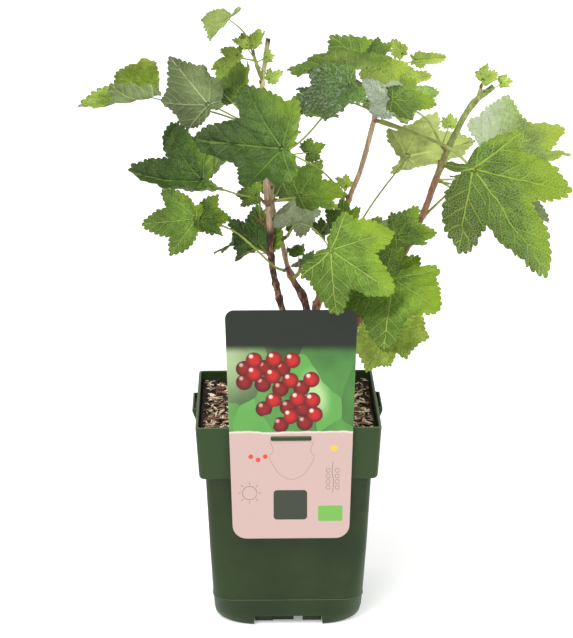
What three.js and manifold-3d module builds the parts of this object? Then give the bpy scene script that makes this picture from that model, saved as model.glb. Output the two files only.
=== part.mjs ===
// A red currant bush in its square nursery pot, with soil and a hang-on picture label.
// Millimetres, +Z up. The origin is the middle of the pot's flat underside, where it
// stands on the ground. X runs to the right and Y runs away from the viewer.
import * as THREE from 'three';
import { mergeVertices } from 'three/addons/utils/BufferGeometryUtils.js';
import Module from 'manifold-3d';

const wasm = await Module();
wasm.setup();

// The gap that touching pieces keep
const SEAT_GAP = 0.3;

// Pot
const POT_HEIGHT = 154.6;
const COLLAR_HEIGHT = 39.5;
const RIM_HALF = 65;
const COLLAR_FOOT_HALF = 62.6;
const BODY_TOP_HALF = 58.4;
const BODY_FOOT_HALF = 53;
const COLLAR_CORNER = 4;
// The corners of the body by height: almost sharp at its top, and round at its foot
const FOOT_EDGE = 2;
const FOOT_ROUNDING = 8;
const BODY_MIDDLE = 60;
const BODY_CORNERS = [
  [0, 30], [FOOT_EDGE, 28], [FOOT_ROUNDING, 21], [20, 16], [BODY_MIDDLE, 7], [POT_HEIGHT, 2],
];
const CORNER_STEPS = 5;
const WALL = 1.8;
const LIP_WIDTH = 1.2;
const LIP_HEIGHT = 3;
const FOOT_BAND_HEIGHT = 19;
const FOOT_BAND_STEP = 0.4;
const SKIRT_LIFT = 6.4;
const SKIRT_HALF = 24;
const INNER_SKIRT_HALF = 45;
const INNER_SKIRT_LIFT = 0.5;
const INNER_SKIRT_GAP = [4, 10.4];
const FLOOR_TOP = 9;
const PAD_RADIUS = 16;
const EAR_LENGTH = 36;
const EAR_PROUD = 3.1;
const EAR_UPRIGHT = 2.5;
const EAR_HEIGHT = 11.5;
const EAR_POCKET = 3.4;
const EAR_WALL = 1.3;
const EAR_DROP = 1.6;
const HOOK_HALF = 13.8;
const HOOK_HEIGHT = 2.6;

// Soil
const SOIL_LEVEL = 147;
const SOIL_BUMP = 2.2;
const SOIL_FLAT_RADIUS = 14;

// Label
const LABEL_THICK = 0.8;
const LABEL_TOP = 241;
const LABEL_FOOT = 73.8;
const LABEL_TOP_HALF = 45.2;
const LABEL_FOOT_HALF = 41;
const LABEL_CENTRE_X = 1.6;
const LABEL_TOP_CORNER = 6;
const LABEL_FOOT_CORNER = 10;
const LABEL_SLOT_LOW = 146.6;

// Leaves and stalks
const LEAF_THICKNESS_SHARE = 0.018;
const LEAF_THINNEST = 0.45;
const LEAF_THICKEST = 0.9;
const SMALL_LEAF = 22;
const BIG_LEAF = 40;
const STALK_RADIUS = 0.8;
const SPUR_RADIUS = 1.5;
const STALK_SUNK = 2.5;
const STALK_THROUGH = 0.5;
const STALK_STARTS = [0.6, 0.97];
const CREASE_SHARE = 0.45;
const CURVE_REACH = 0.31;

const COLOURS = {
  pot: '#3e4e32', soil: '#4a3426', label: '#e6cfc6', bark: '#6b4a38', foliage: '#4f7d2a',
};

// Half of a leaf seen flat, one unit long, from its tip round to its stalk: the angle
// from the midrib in degrees and the reach from the stalk. The other half mirrors it.
const LEAF_HALF = [
  [0, 1], [14, 0.8], [26, 0.59], [40, 0.79], [50, 0.83],
  [64, 0.66], [78, 0.57], [94, 0.56], [115, 0.3], [180, 0.05],
];
const SMALL_LEAF_HALF = [[0, 1], [26, 0.6], [48, 0.84], [72, 0.57], [94, 0.56], [125, 0.22], [180, 0.05]];

// The stems. Points run from the foot upwards, and so do the radii.
const STEMS = {
  stem_base: {
    points: [[11, 2, SOIL_LEVEL + SEAT_GAP], [11, 2, 160], [13, 1, 185], [17, 0, 210]],
    radii: [8, 5.4, 4.8, 4.4],
  },
  cane_left: {
    points: [[12, 1, 196], [3, -3, 208], [-4, -6, 225], [-8, -8, 242], [-11, -8, 258], [-12, -6, 282],
      [-14, -2, 306], [-15, 0, 330], [-16, 2, 352]],
    radii: [2.8, 2.7, 2.5, 2.3, 2.1],
  },
  cane_middle: {
    points: [[17, 0, 206], [12, 2, 228], [4, 4, 243], [0, 5, 253], [-4, 6, 271], [-8, 6, 284],
      [-11, 6, 304], [-15, 6, 343], [-17, 5, 384], [-15, 4, 400], [-13, 3, 415]],
    radii: [3.6, 2.6, 2.1, 1.7, 1.3],
  },
  cane_centre: {
    points: [[17, 0, 206], [22, 4, 225], [34, 10, 262], [44, 12, 298], [52, 12, 320], [61, 10, 356],
      [64, 9, 367], [67, 8, 379]],
    radii: [2.8, 2.3, 1.9, 1.8, 1.6],
  },
  cane_right: {
    points: [[14, 0, 165], [30, -2, 180], [48, -6, 208], [64, -8, 232], [80, -8, 260], [93, -8, 287],
      [111, -10, 338], [128, -12, 372], [142, -12, 384]],
    radii: [3.4, 3, 2.7, 2.5, 2.1],
  },
};

// The masses of foliage. Each grows from its cane by one spur. A leaf's row holds the
// end of its stalk as x, y, z, the leaf's length, the heading, pitch and roll of its
// blade, how far its left and right halves fold up and its tip droops, all in degrees,
// and then the points that its stalk passes on the way. Some masses have more leaves,
// grown by the rule below round the heading that they face.
const FOLIAGE = {
  foliage_tip: {
    cane: 'cane_middle', spur: [[-17, 5, 386], [-20, 2, 394], [-23, 0, 404]],
    leaves: [
      [-39, 0, 431, 25, -135, -24, 0, 35, 20, 25, [-29, 0, 419]],
      [-24, -1, 410, 16, 72, 46, -16, 20, 20, 17],
      [-27, 0, 411, 10, 170, 20, -60, 20, 20, 10],
      [-33, 0, 404, 21, 173, -23, -30, 10, 10, 10],
      [-16, -3, 403, 8, 10, 10, 60, 20, 20, 10],
      [-13, -2, 387, 15, -10, 30, 60, 20, 20, 20],
    ],
  },
  foliage_high_left: {
    cane: 'cane_middle', spur: [[-15, 6, 345], [-20, 3, 352]],
    grown: { count: 1, facing: 135, rise: -10, seed: 392 },
    leaves: [
      [-34, 6, 375, 28, 90, 53, -40, 0, 25, 0],
      [-54, -25, 374, 41, 153, 46, 136, 35, 45, 0, [-35, -10, 362]],
      [-94, 10, 374, 49, -178, -12, -35, 70, 75, -10, [-45, 6, 361]],
      [-45, 4, 380, 18, 150, 0, 10, 20, 20, 10],
    ],
  },
  foliage_mid_left: {
    cane: 'cane_left', spur: [[-13, -4, 298], [-18, -6, 303]],
    leaves: [
      [-58, -25, 321, 58, -161, 1, -41, 45, 45, -35, [-36, -12, 309]],
      [-21, -8, 307, 15, 175, 5, -50, 10, 40, 20],
    ],
  },
  foliage_low_left: {
    cane: 'cane_middle', spur: [[1, 5, 250], [-2, -4, 251]],
    leaves: [
      [-63, -35, 297, 36, -175, -5, -85, 10, 10, 0, [-9, -15, 257], [-38, -26, 286]],
      [-62, -34, 297, 22, 10, 0, 60, 20, 20, 10, [-9, -15, 257], [-38, -26, 286]],
    ],
  },
  foliage_inner_left: {
    cane: 'cane_left', spur: [[-11, -8, 262], [-15, -9, 266]],
    leaves: [
      [-33, 5, 271, 24, 130, -23, -30, 20, 20, 20],
      [-20, -2, 268, 30, 95, 62, -10, 20, 20, 10],
      [-26, -12, 268, 12, -160, -20, -40, 60, 30, 40],
    ],
  },
  foliage_inner_high: {
    cane: 'cane_left', spur: [[-15, 0, 330], [-10, -2, 333]],
    leaves: [
      [42, -39, 390, 42, -170, -13, -16, 0, 30, 30, [8, -16, 346]],
      [14, 3, 334, 14, -20, 30, 70, 20, 20, 10],
      [0, 0, 350, 9, 0, 0, 60, 20, 20, 10],
    ],
  },
  foliage_inner_mid: {
    cane: 'cane_left', spur: [[-14, -3, 300], [-9, -8, 303]],
    leaves: [
      [8, -24, 310, 35, 20, 3, 35, 20, 20, 10],
      [10, -10, 305, 31, 165, -45, 130, 40, 40, 10],
    ],
  },
  foliage_heart: {
    cane: 'cane_middle', spur: [[-4, 6, 271], [0, 0, 275]],
    leaves: [
      [29, -50, 278, 53, -39, -22, 62, 13, 20, 25, [7, -19, 289], [17, -35, 290]],
      [2, 1, 284, 9, -60, 0, 60, 10, 10, 10],
    ],
  },
  foliage_low_shoot: {
    cane: 'cane_middle', spur: [[4, 4, 243], [8, -1, 248], [9, -3, 252]],
    leaves: [
      [8, -3, 262, 11, 100, 30, -20, 30, 30, 10],
      [13, -5, 256, 12, 20, 10, 60, 30, 30, 10],
    ],
  },
  foliage_centre_left: {
    cane: 'cane_centre', spur: [[44, 12, 300], [40, 7, 304]],
    leaves: [
      [-4, -45, 348, 66, -168, 7, -72, 45, 30, -25, [22, -20, 328]],
      [39, -2, 283, 19, 85, 65, 0, 20, 20, 10],
      [26, 0, 276, 14, 170, 40, -20, 20, 20, 10],
      [42, 6, 309, 10, 170, 50, -30, 20, 20, 30],
    ],
  },
  foliage_centre_low: {
    cane: 'cane_centre', spur: [[34, 10, 262], [40, 6, 262]],
    leaves: [
      [85, 25, 327, 50, 22, 5, -110, 80, 35, 30, [62, 16, 296]],
      [68, -22, 250, 32, 26, 74, 65, 20, 20, 10, [52, -6, 254]],
      [75, -27, 281, 28, 5, 5, 68, 10, 60, 10, [58, -12, 272]],
      [74, -32, 252, 58, -103, -32, 13, 6, 16, 8, [60, -18, 262]],
      [68, -20, 209, 30, -150, -58, -20, 10, 10, 10],
      [71, -25, 215, 31, -18, -6, 40, 0, 0, 10],
    ],
  },
  foliage_right_large: {
    cane: 'cane_centre', spur: [[61, 10, 356], [66, 6, 356]],
    leaves: [
      [125, -50, 335, 84, -41, -43, 12, 15, 0, 6, [88, -16, 352], [113, -36, 344]],
    ],
  },
  foliage_crown: {
    cane: 'cane_centre', spur: [[67, 8, 380], [67, 4, 388]],
    grown: { count: 1, facing: 115, rise: -25, seed: 200 },
    leaves: [
      [63, 15, 392, 60, -175, 4, -22, 45, 10, 15],
      [62, 18, 399, 17, 10, 40, 20, 20, 20, 10],
      [62, -20, 398, 27, -68, -21, 16, 14, 12, 6],
      [71, -18, 376, 27, -139, 30, -123, 49, 23, 30],
      [80, 0, 404, 13, 150, 50, -60, 30, 30, 10, [76, 2, 394]],
      [88, 4, 400, 18, 0, 5, 40, 60, 30, 10, [80, 3, 396]],
      [82, 6, 386, 16, 0, 8, 40, 30, 30, 10],
    ],
  },
  foliage_right_inner: {
    cane: 'cane_right', spur: [[111, -10, 338], [106, -14, 344]],
    leaves: [
      [70, -48, 382, 27, -5, -3, 50, 10, 10, 10, [96, -26, 363]],
      [112, -14, 356, 9, 80, 60, 0, 30, 30, 10],
    ],
  },
  foliage_right_far: {
    cane: 'cane_right', spur: [[93, -8, 287], [98, -4, 292]],
    leaves: [
      [151, 30, 329, 58, 28, 14, 26, 15, 15, 8, [124, 12, 312]],
    ],
  },
  foliage_right_tip: {
    cane: 'cane_right', spur: [[132, -12, 377], [133, -13, 383]],
    leaves: [
      [134, -13, 388, 13, 20, 30, 40, 40, 30, 20],
      [146, -16, 387, 8, 0, 10, 60, 30, 30, 10, [139, -18, 383]],
    ],
  },
  foliage_back_left: {
    cane: 'cane_left', spur: [[-12, -6, 282], [-20, -1, 288]], leaves: [],
    grown: { count: 3, facing: 100, rise: 35, seed: 204 },
  },
  foliage_back_middle: {
    cane: 'cane_middle', spur: [[-13, 6, 322], [-14, 13, 328]], leaves: [],
    grown: { count: 3, facing: 90, rise: 30, seed: 133 },
  },
  foliage_back_centre: {
    cane: 'cane_centre', spur: [[61, 10, 356], [62, 18, 361]], leaves: [],
    grown: { count: 2, facing: 115, rise: 5, seed: 111 },
  },
  foliage_back_right: {
    cane: 'cane_right', spur: [[101, -9, 311], [105, -2, 317]], leaves: [],
    grown: { count: 3, facing: 20, rise: -25, seed: 246 },
  },
  foliage_back_low: {
    cane: 'cane_right', spur: [[64, -8, 232], [66, 0, 238]], leaves: [],
    grown: { count: 2, facing: 90, rise: -20, seed: 332 },
  },
  foliage_back_heart: {
    cane: 'cane_centre', spur: [[22, 4, 225], [24, 12, 230]], leaves: [],
    grown: { count: 3, facing: 45, rise: 25, seed: 56 },
  },
};

// The rule for the leaves at the back: ranges of stalk, size and the angles in degrees,
// how far a leaf stays from limbs and other leaves as a share of its length, and how
// often the rule tries again when a leaf would touch one
const BACK_STALK = [30, 62];
const BACK_SIZE = [27, 46];
const BACK_SPREAD = 50;
const BACK_RISE_SPREAD = 20;
const BACK_TURN = 30;
const BACK_PITCH = [-40, 5];
const BACK_ROLL = 30;
const BACK_FOLD = 22;
const BACK_DROOP = 18;
const BACK_CLEAR = 0.46;
const BACK_TRIES = 30;

const radians = THREE.MathUtils.degToRad;

// Numbers from 0 to 1 that come out alike on each run
function seededNumbers(seed) {
  let state = Math.imul(seed, 2654435761) >>> 0;
  return () => {
    state = (Math.imul(state, 1664525) + 1013904223) >>> 0;
    return state / 4294967296;
  };
}

function between([low, high], share) {
  return low + (high - low) * share;
}

function toSolid(geometry) {
  geometry.deleteAttribute('normal');
  geometry.deleteAttribute('uv');
  const merged = mergeVertices(geometry, 1e-4);
  return new wasm.Manifold(new wasm.Mesh({
    numProp: 3,
    vertProperties: new Float32Array(merged.attributes.position.array),
    triVerts: new Uint32Array(merged.index.array),
  }));
}

function largestPiece(solid) {
  const pieces = solid.decompose();
  pieces.sort((a, b) => b.volume() - a.volume());
  return pieces[0];
}

function toGeometry(solid) {
  const mesh = solid.getMesh();
  const points = new Float32Array(mesh.vertProperties);
  const geometry = new THREE.BufferGeometry();
  geometry.setAttribute('position', new THREE.BufferAttribute(points, 3));
  geometry.setIndex(new THREE.BufferAttribute(new Uint32Array(mesh.triVerts), 1));
  geometry.computeVertexNormals();
  return geometry;
}

function box(xs, ys, zs) {
  const geometry = new THREE.BoxGeometry(xs[1] - xs[0], ys[1] - ys[0], zs[1] - zs[0]);
  geometry.translate((xs[0] + xs[1]) / 2, (ys[0] + ys[1]) / 2, (zs[0] + zs[1]) / 2);
  return toSolid(geometry);
}

// A point on a square with rounded corners, by its step round the outline
function squarePoint(step, half, corner) {
  const perSide = CORNER_STEPS + 1;
  const side = Math.floor(step / perSide);
  const within = step % perSide;
  const turn = side * Math.PI / 2;
  const flat = half - corner;
  let x = half;
  let y = 0;
  if (within > 0) {
    const angle = (within - 1) / (CORNER_STEPS - 1) * Math.PI / 2;
    x = flat + corner * Math.cos(angle);
    y = flat + corner * Math.sin(angle);
  }
  return [x * Math.cos(turn) - y * Math.sin(turn), x * Math.sin(turn) + y * Math.cos(turn)];
}

// A body with rounded square levels, each { z, half, corner }. It starts and ends on the axis.
function squareLathe(levels, bump) {
  const steps = 4 * (CORNER_STEPS + 1);
  const profile = levels.map((level) => new THREE.Vector2(level.half, level.z));
  const geometry = new THREE.LatheGeometry(profile, steps);
  const position = geometry.attributes.position;
  for (let step = 0; step <= steps; step += 1) {
    levels.forEach((level, index) => {
      const [x, y] = squarePoint(step % steps, level.half, Math.min(level.corner, level.half));
      const z = bump ? bump(x, y, level) : level.z;
      position.setXYZ(step * levels.length + index, x, y, z);
    });
  }
  return toSolid(geometry);
}

// The inside half width of the pot at a height
function insideHalf(z) {
  const step = POT_HEIGHT - COLLAR_HEIGHT;
  if (z < step) {
    return between([BODY_FOOT_HALF, BODY_TOP_HALF], (z - FLOOR_TOP) / (step - FLOOR_TOP)) - WALL;
  }
  return between([COLLAR_FOOT_HALF, RIM_HALF], (z - step) / COLLAR_HEIGHT) - WALL;
}

// The corner radius of the body at a height
function cornerAt(z) {
  const next = Math.max(BODY_CORNERS.findIndex(([height]) => height >= z), 1);
  const [[low, lowCorner], [high, highCorner]] = BODY_CORNERS.slice(next - 1, next + 1);
  return between([lowCorner, highCorner], (z - low) / (high - low));
}

// A wedge that stands proud of the rim, with a pocket in its top
function ear(turn) {
  const high = POT_HEIGHT - EAR_DROP;
  const inside = COLLAR_FOOT_HALF;
  const outer = RIM_HALF + EAR_PROUD;
  const half = EAR_LENGTH / 2;
  const side = new THREE.Shape();
  side.moveTo(inside, high);
  side.lineTo(inside, high - EAR_HEIGHT);
  side.lineTo(RIM_HALF - WALL / 2, high - EAR_HEIGHT);
  side.lineTo(outer, high - EAR_UPRIGHT);
  side.lineTo(outer, high);
  side.closePath();
  const geometry = new THREE.ExtrudeGeometry(side, { depth: EAR_LENGTH, bevelEnabled: false });
  geometry.rotateX(Math.PI / 2);
  geometry.translate(0, half, 0);
  const across = [EAR_WALL - half, half - EAR_WALL];
  const pocket = box([RIM_HALF, outer - EAR_WALL], across, [high - EAR_POCKET, high + 1]);
  return toSolid(geometry).subtract(pocket).rotate([0, 0, turn]);
}

function pot() {
  const step = POT_HEIGHT - COLLAR_HEIGHT;
  const lipInside = RIM_HALF - WALL - LIP_WIDTH;
  const bandTop = between([BODY_FOOT_HALF, BODY_TOP_HALF], FOOT_BAND_HEIGHT / step);
  const middleHalf = between([BODY_FOOT_HALF, BODY_TOP_HALF], BODY_MIDDLE / step);
  const insideCorner = COLLAR_CORNER - WALL;
  let body = squareLathe([
    { z: 0, half: 0, corner: 0 },
    { z: 0, half: BODY_FOOT_HALF - FOOT_BAND_STEP - 1.5, corner: cornerAt(0) },
    { z: FOOT_EDGE, half: BODY_FOOT_HALF - FOOT_BAND_STEP, corner: cornerAt(FOOT_EDGE) },
    { z: FOOT_ROUNDING, half: BODY_FOOT_HALF - FOOT_BAND_STEP, corner: cornerAt(FOOT_ROUNDING) },
    { z: FOOT_BAND_HEIGHT, half: bandTop - FOOT_BAND_STEP, corner: cornerAt(FOOT_BAND_HEIGHT) },
    { z: FOOT_BAND_HEIGHT + 0.6, half: bandTop, corner: cornerAt(FOOT_BAND_HEIGHT) },
    { z: BODY_MIDDLE, half: middleHalf, corner: cornerAt(BODY_MIDDLE) },
    { z: step, half: BODY_TOP_HALF, corner: cornerAt(step) },
    { z: step, half: COLLAR_FOOT_HALF - 0.6, corner: COLLAR_CORNER },
    { z: step + 0.8, half: COLLAR_FOOT_HALF, corner: COLLAR_CORNER },
    { z: POT_HEIGHT - 0.7, half: RIM_HALF, corner: COLLAR_CORNER },
    { z: POT_HEIGHT, half: RIM_HALF - 0.6, corner: COLLAR_CORNER - 0.6 },
    { z: POT_HEIGHT, half: lipInside + 0.6, corner: insideCorner },
    { z: POT_HEIGHT - 0.8, half: lipInside, corner: insideCorner },
    { z: POT_HEIGHT - LIP_HEIGHT, half: insideHalf(POT_HEIGHT - LIP_HEIGHT), corner: insideCorner },
    { z: step + WALL, half: insideHalf(step + WALL), corner: insideCorner },
    { z: step - WALL, half: insideHalf(step - WALL), corner: insideCorner },
    { z: BODY_MIDDLE, half: insideHalf(BODY_MIDDLE), corner: cornerAt(BODY_MIDDLE) - WALL },
    { z: FLOOR_TOP, half: insideHalf(FLOOR_TOP), corner: cornerAt(FLOOR_TOP) - WALL },
    { z: FLOOR_TOP, half: 0, corner: 0 },
  ]);
  // Under the floor the pot stands on its four corners and on a round pad
  const reach = RIM_HALF;
  const recessHalf = BODY_FOOT_HALF - FOOT_BAND_STEP - WALL * 2;
  const recess = squareLathe([
    { z: -1, half: 0, corner: 0 },
    { z: -1, half: recessHalf, corner: cornerAt(0) - WALL },
    { z: 0, half: recessHalf, corner: cornerAt(0) - WALL },
    { z: FLOOR_TOP - WALL, half: recessHalf, corner: cornerAt(FLOOR_TOP) - WALL },
    { z: FLOOR_TOP - WALL, half: 0, corner: 0 },
  ]);
  body = body.subtract(recess);
  body = body.subtract(box([-SKIRT_HALF, SKIRT_HALF], [-reach, reach], [-1, SKIRT_LIFT]));
  body = body.subtract(box([-reach, reach], [-SKIRT_HALF, SKIRT_HALF], [-1, SKIRT_LIFT]));
  const pad = new THREE.CylinderGeometry(PAD_RADIUS, PAD_RADIUS, FLOOR_TOP - WALL / 2, 24);
  pad.rotateX(Math.PI / 2);
  pad.translate(0, 0, (FLOOR_TOP - WALL / 2) / 2);
  body = body.add(toSolid(pad));
  // Behind each opening in the skirt stands an inner wall with a gap
  for (const turn of [0, 90, 180, 270]) {
    const wallY = [-INNER_SKIRT_HALF, WALL - INNER_SKIRT_HALF];
    const wallZ = [INNER_SKIRT_LIFT, FLOOR_TOP - WALL / 2];
    const left = box([-SKIRT_HALF, INNER_SKIRT_GAP[0]], wallY, wallZ);
    const right = box([INNER_SKIRT_GAP[1], SKIRT_HALF], wallY, wallZ);
    body = body.add(left.rotate([0, 0, turn])).add(right.rotate([0, 0, turn]));
  }
  for (const turn of [0, 90, 180, 270]) {
    body = body.add(ear(turn));
  }
  // The front ear has the hook that holds the label by its slot
  const front = -(RIM_HALF + EAR_PROUD);
  const hookLow = LABEL_SLOT_LOW + SEAT_GAP;
  body = body.add(box(
    [LABEL_CENTRE_X - HOOK_HALF, LABEL_CENTRE_X + HOOK_HALF],
    [front - SEAT_GAP - LABEL_THICK - 0.8, front + EAR_WALL * 1.5],
    [hookLow, hookLow + HOOK_HEIGHT],
  ));
  return body;
}

function soil() {
  const random = seededNumbers(7);
  const phases = Array.from({ length: 6 }, () => random() * Math.PI * 2);
  const root = STEMS.stem_base.points[0];
  const surface = (x, y, level) => {
    const wave = Math.sin(x / 9 + phases[0]) * Math.cos(y / 11 + phases[1])
      + 0.6 * Math.sin(x / 4.5 + phases[2] + y / 7) + 0.5 * Math.cos(y / 5 + phases[3] - x / 8);
    const away = Math.hypot(x - root[0], y - root[1]) - SOIL_FLAT_RADIUS;
    const fade = THREE.MathUtils.clamp(away / 10, 0, 1);
    return level.top ? level.z + SOIL_BUMP * 0.5 * wave * fade : level.z;
  };
  const step = POT_HEIGHT - COLLAR_HEIGHT;
  const edge = insideHalf(SOIL_LEVEL) - SEAT_GAP * 1.5;
  const corner = COLLAR_CORNER - WALL;
  const rings = [1, 0.86, 0.7, 0.54, 0.38, 0.22];
  const top = rings.map((share) => (
    { z: SOIL_LEVEL, half: edge * share, corner: corner + 8 * (1 - share), top: true }
  ));
  return squareLathe([
    { z: FLOOR_TOP + SEAT_GAP, half: 0, corner: 0 },
    { z: FLOOR_TOP + SEAT_GAP, half: insideHalf(FLOOR_TOP) - SEAT_GAP, corner: cornerAt(FLOOR_TOP) - WALL },
    { z: BODY_MIDDLE, half: insideHalf(BODY_MIDDLE) - SEAT_GAP, corner: cornerAt(BODY_MIDDLE) - WALL },
    { z: step - WALL, half: insideHalf(step - WALL) - SEAT_GAP * 1.5, corner },
    { z: step + WALL, half: insideHalf(step + WALL) - SEAT_GAP * 2, corner },
    ...top,
    { z: SOIL_LEVEL, half: 0, corner: 0 },
  ], surface);
}

// A flat card with rounded corners, narrower at its foot, hung by its slot
function label() {
  const shape = new THREE.Shape();
  const slope = Math.atan2(LABEL_TOP_HALF - LABEL_FOOT_HALF, LABEL_TOP - LABEL_FOOT);
  const top = LABEL_TOP_CORNER;
  const foot = LABEL_FOOT_CORNER;
  shape.absarc(LABEL_TOP_HALF - top, LABEL_TOP - top, top, -slope, Math.PI / 2, false);
  shape.absarc(top - LABEL_TOP_HALF, LABEL_TOP - top, top, Math.PI / 2, Math.PI + slope, false);
  shape.absarc(foot - LABEL_FOOT_HALF, LABEL_FOOT + foot, foot, Math.PI + slope, Math.PI * 1.5, false);
  shape.absarc(LABEL_FOOT_HALF - foot, LABEL_FOOT + foot, foot, -Math.PI / 2, -slope, false);
  const slotHalf = HOOK_HALF + SEAT_GAP;
  const slotHigh = LABEL_SLOT_LOW + HOOK_HEIGHT + 2 * SEAT_GAP;
  const slot = new THREE.Path();
  slot.moveTo(-slotHalf, LABEL_SLOT_LOW);
  slot.lineTo(-slotHalf, slotHigh);
  slot.lineTo(slotHalf, slotHigh);
  slot.lineTo(slotHalf, LABEL_SLOT_LOW);
  slot.closePath();
  shape.holes.push(slot);
  const card = { depth: LABEL_THICK, bevelEnabled: false, curveSegments: 6 };
  const geometry = new THREE.ExtrudeGeometry(shape, card);
  geometry.rotateX(Math.PI / 2);
  geometry.translate(LABEL_CENTRE_X, -(RIM_HALF + EAR_PROUD + SEAT_GAP), 0);
  return toSolid(geometry);
}

// A tapering round limb along a smooth curve. extra widens it and lengthens both ends.
function limb(points, radii, sides, steps, extra = 0) {
  const route = points.map((point) => new THREE.Vector3(...point));
  if (extra > 0) {
    const last = route.length - 1;
    route[0].add(route[0].clone().sub(route[1]).setLength(extra));
    route[last].add(route[last].clone().sub(route[last - 1]).setLength(extra));
  }
  const curve = new THREE.CatmullRomCurve3(route, false, 'centripetal');
  const frames = curve.computeFrenetFrames(steps);
  const geometry = new THREE.CylinderGeometry(1, 1, 1, sides, steps);
  const position = geometry.attributes.position;
  for (let index = 0; index < position.count; index += 1) {
    const ring = Math.round((position.getY(index) + 0.5) * steps);
    const share = ring / steps * (radii.length - 1);
    const low = Math.min(Math.floor(share), radii.length - 2);
    const radius = between([radii[low], radii[low + 1]], share - low) + extra;
    const place = curve.getPointAt(ring / steps);
    place.addScaledVector(frames.normals[ring], position.getX(index) * radius);
    place.addScaledVector(frames.binormals[ring], -position.getZ(index) * radius);
    position.setXYZ(index, place.x, place.y, place.z);
  }
  return toSolid(geometry);
}

// Where a flat point of a leaf goes when the leaf folds along its midrib and droops
function bendLeaf(x, y, height, leaf) {
  const fold = radians(y > 0 ? leaf.foldLeft : leaf.foldRight);
  const crease = fold * CREASE_SHARE;
  const curl = (fold * (1 - CREASE_SHARE)) / (CURVE_REACH * leaf.length) || 1e-9;
  const out = Math.abs(y);
  const across = Math.sin(curl * out) / curl - height * Math.sin(curl * out);
  const up = (1 - Math.cos(curl * out)) / curl + height * Math.cos(curl * out);
  const side = (across * Math.cos(crease) - up * Math.sin(crease)) * Math.sign(y);
  const rise = across * Math.sin(crease) + up * Math.cos(crease);
  const droop = radians(leaf.droop) / leaf.length || 1e-9;
  return new THREE.Vector3(
    Math.sin(droop * x) / droop + rise * Math.sin(droop * x),
    side,
    (Math.cos(droop * x) - 1) / droop + rise * Math.cos(droop * x),
  );
}

// The leaf's own axes: along the midrib, to its left, and out of its upper side
function leafPlace(leaf) {
  const heading = radians(leaf.heading);
  const pitch = radians(leaf.pitch);
  const level = new THREE.Vector3(-Math.sin(heading), Math.cos(heading), 0);
  const ahead = new THREE.Vector3(Math.cos(heading), Math.sin(heading), 0);
  const along = ahead.multiplyScalar(Math.cos(pitch)).setZ(Math.sin(pitch));
  const over = new THREE.Vector3().crossVectors(along, level);
  const roll = radians(leaf.roll);
  const left = level.clone().multiplyScalar(Math.cos(roll)).addScaledVector(over, Math.sin(roll));
  const upper = over.clone().multiplyScalar(Math.cos(roll)).addScaledVector(level, -Math.sin(roll));
  return new THREE.Matrix4().makeBasis(along, left, upper).setPosition(...leaf.base);
}

function readLeaf(row) {
  const [x, y, z, length, heading, pitch, roll, foldLeft, foldRight, droop, ...via] = row;
  return { base: [x, y, z], length, heading, pitch, roll, foldLeft, foldRight, droop, via };
}

// A leaf blade: a turned disc whose rim is moved on to the leaf's outline
function blade(leaf) {
  const small = leaf.length < SMALL_LEAF;
  const half = small ? SMALL_LEAF_HALF : LEAF_HALF;
  const mirrored = half.slice(1, -1).reverse().map(([angle, reach]) => [-angle, reach]);
  const outline = [...half, ...mirrored];
  const clamp = THREE.MathUtils.clamp;
  const thick = clamp(leaf.length * LEAF_THICKNESS_SHARE, LEAF_THINNEST, LEAF_THICKEST) / 2;
  const rings = leaf.length < BIG_LEAF ? [0, 1] : [0, 0.5, 1];
  const profile = [
    ...rings.map((share) => new THREE.Vector2(share, -thick)),
    ...rings.slice().reverse().map((share) => new THREE.Vector2(share, thick)),
  ];
  const geometry = new THREE.LatheGeometry(profile, outline.length);
  const position = geometry.attributes.position;
  const place = leafPlace(leaf);
  for (let step = 0; step <= outline.length; step += 1) {
    const [angle, reach] = outline[step % outline.length];
    const turn = radians(angle);
    profile.forEach((point, index) => {
      const distance = point.x * reach * leaf.length;
      const bent = bendLeaf(distance * Math.cos(turn), distance * Math.sin(turn), point.y, leaf);
      bent.applyMatrix4(place);
      position.setXYZ(step * profile.length + index, bent.x, bent.y, bent.z);
    });
  }
  return toSolid(geometry);
}

// A stalk from the spur's end to the leaf, sunk into the foot of its midrib
function stalk(from, leaf) {
  const sunk = bendLeaf(STALK_SUNK, 0, 0, leaf).applyMatrix4(leafPlace(leaf));
  const before = new THREE.Vector3(...[from, ...leaf.via].at(-1));
  sunk.add(sunk.clone().sub(before).setLength(STALK_THROUGH));
  const points = [from, ...leaf.via, sunk.toArray()];
  const steps = points.length < 3 ? 1 : 2 * (points.length - 1);
  return limb(points, [STALK_RADIUS, STALK_RADIUS * 0.8], 3, steps);
}

const group = new THREE.Group();
const solids = {};

function addPart(name, solid, colour, roughness) {
  solids[name] = solid;
  const material = new THREE.MeshStandardMaterial({ color: COLOURS[colour], roughness, metalness: 0 });
  const mesh = new THREE.Mesh(toGeometry(solid), material);
  mesh.name = name;
  group.add(mesh);
}

addPart('pot', pot(), 'pot', 0.45);
addPart('soil', soil(), 'soil', 0.95);
addPart('label', label(), 'label', 0.4);

// Each stem is cut clear of the ones that it grows from
const clearance = {};
for (const [name, { points, radii }] of Object.entries(STEMS)) {
  let solid = limb(points, radii, 8, 2 * (points.length - 1));
  for (const grown of Object.values(clearance)) {
    solid = solid.subtract(grown);
  }
  addPart(name, largestPiece(solid), 'bark', 0.75);
  clearance[name] = limb(points, radii, 8, 2 * (points.length - 1), SEAT_GAP);
}

// The middle of a blade, for keeping leaves apart
function middleOf(leaf) {
  return new THREE.Vector3(leaf.length / 2, 0, 0).applyMatrix4(leafPlace(leaf));
}

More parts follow.
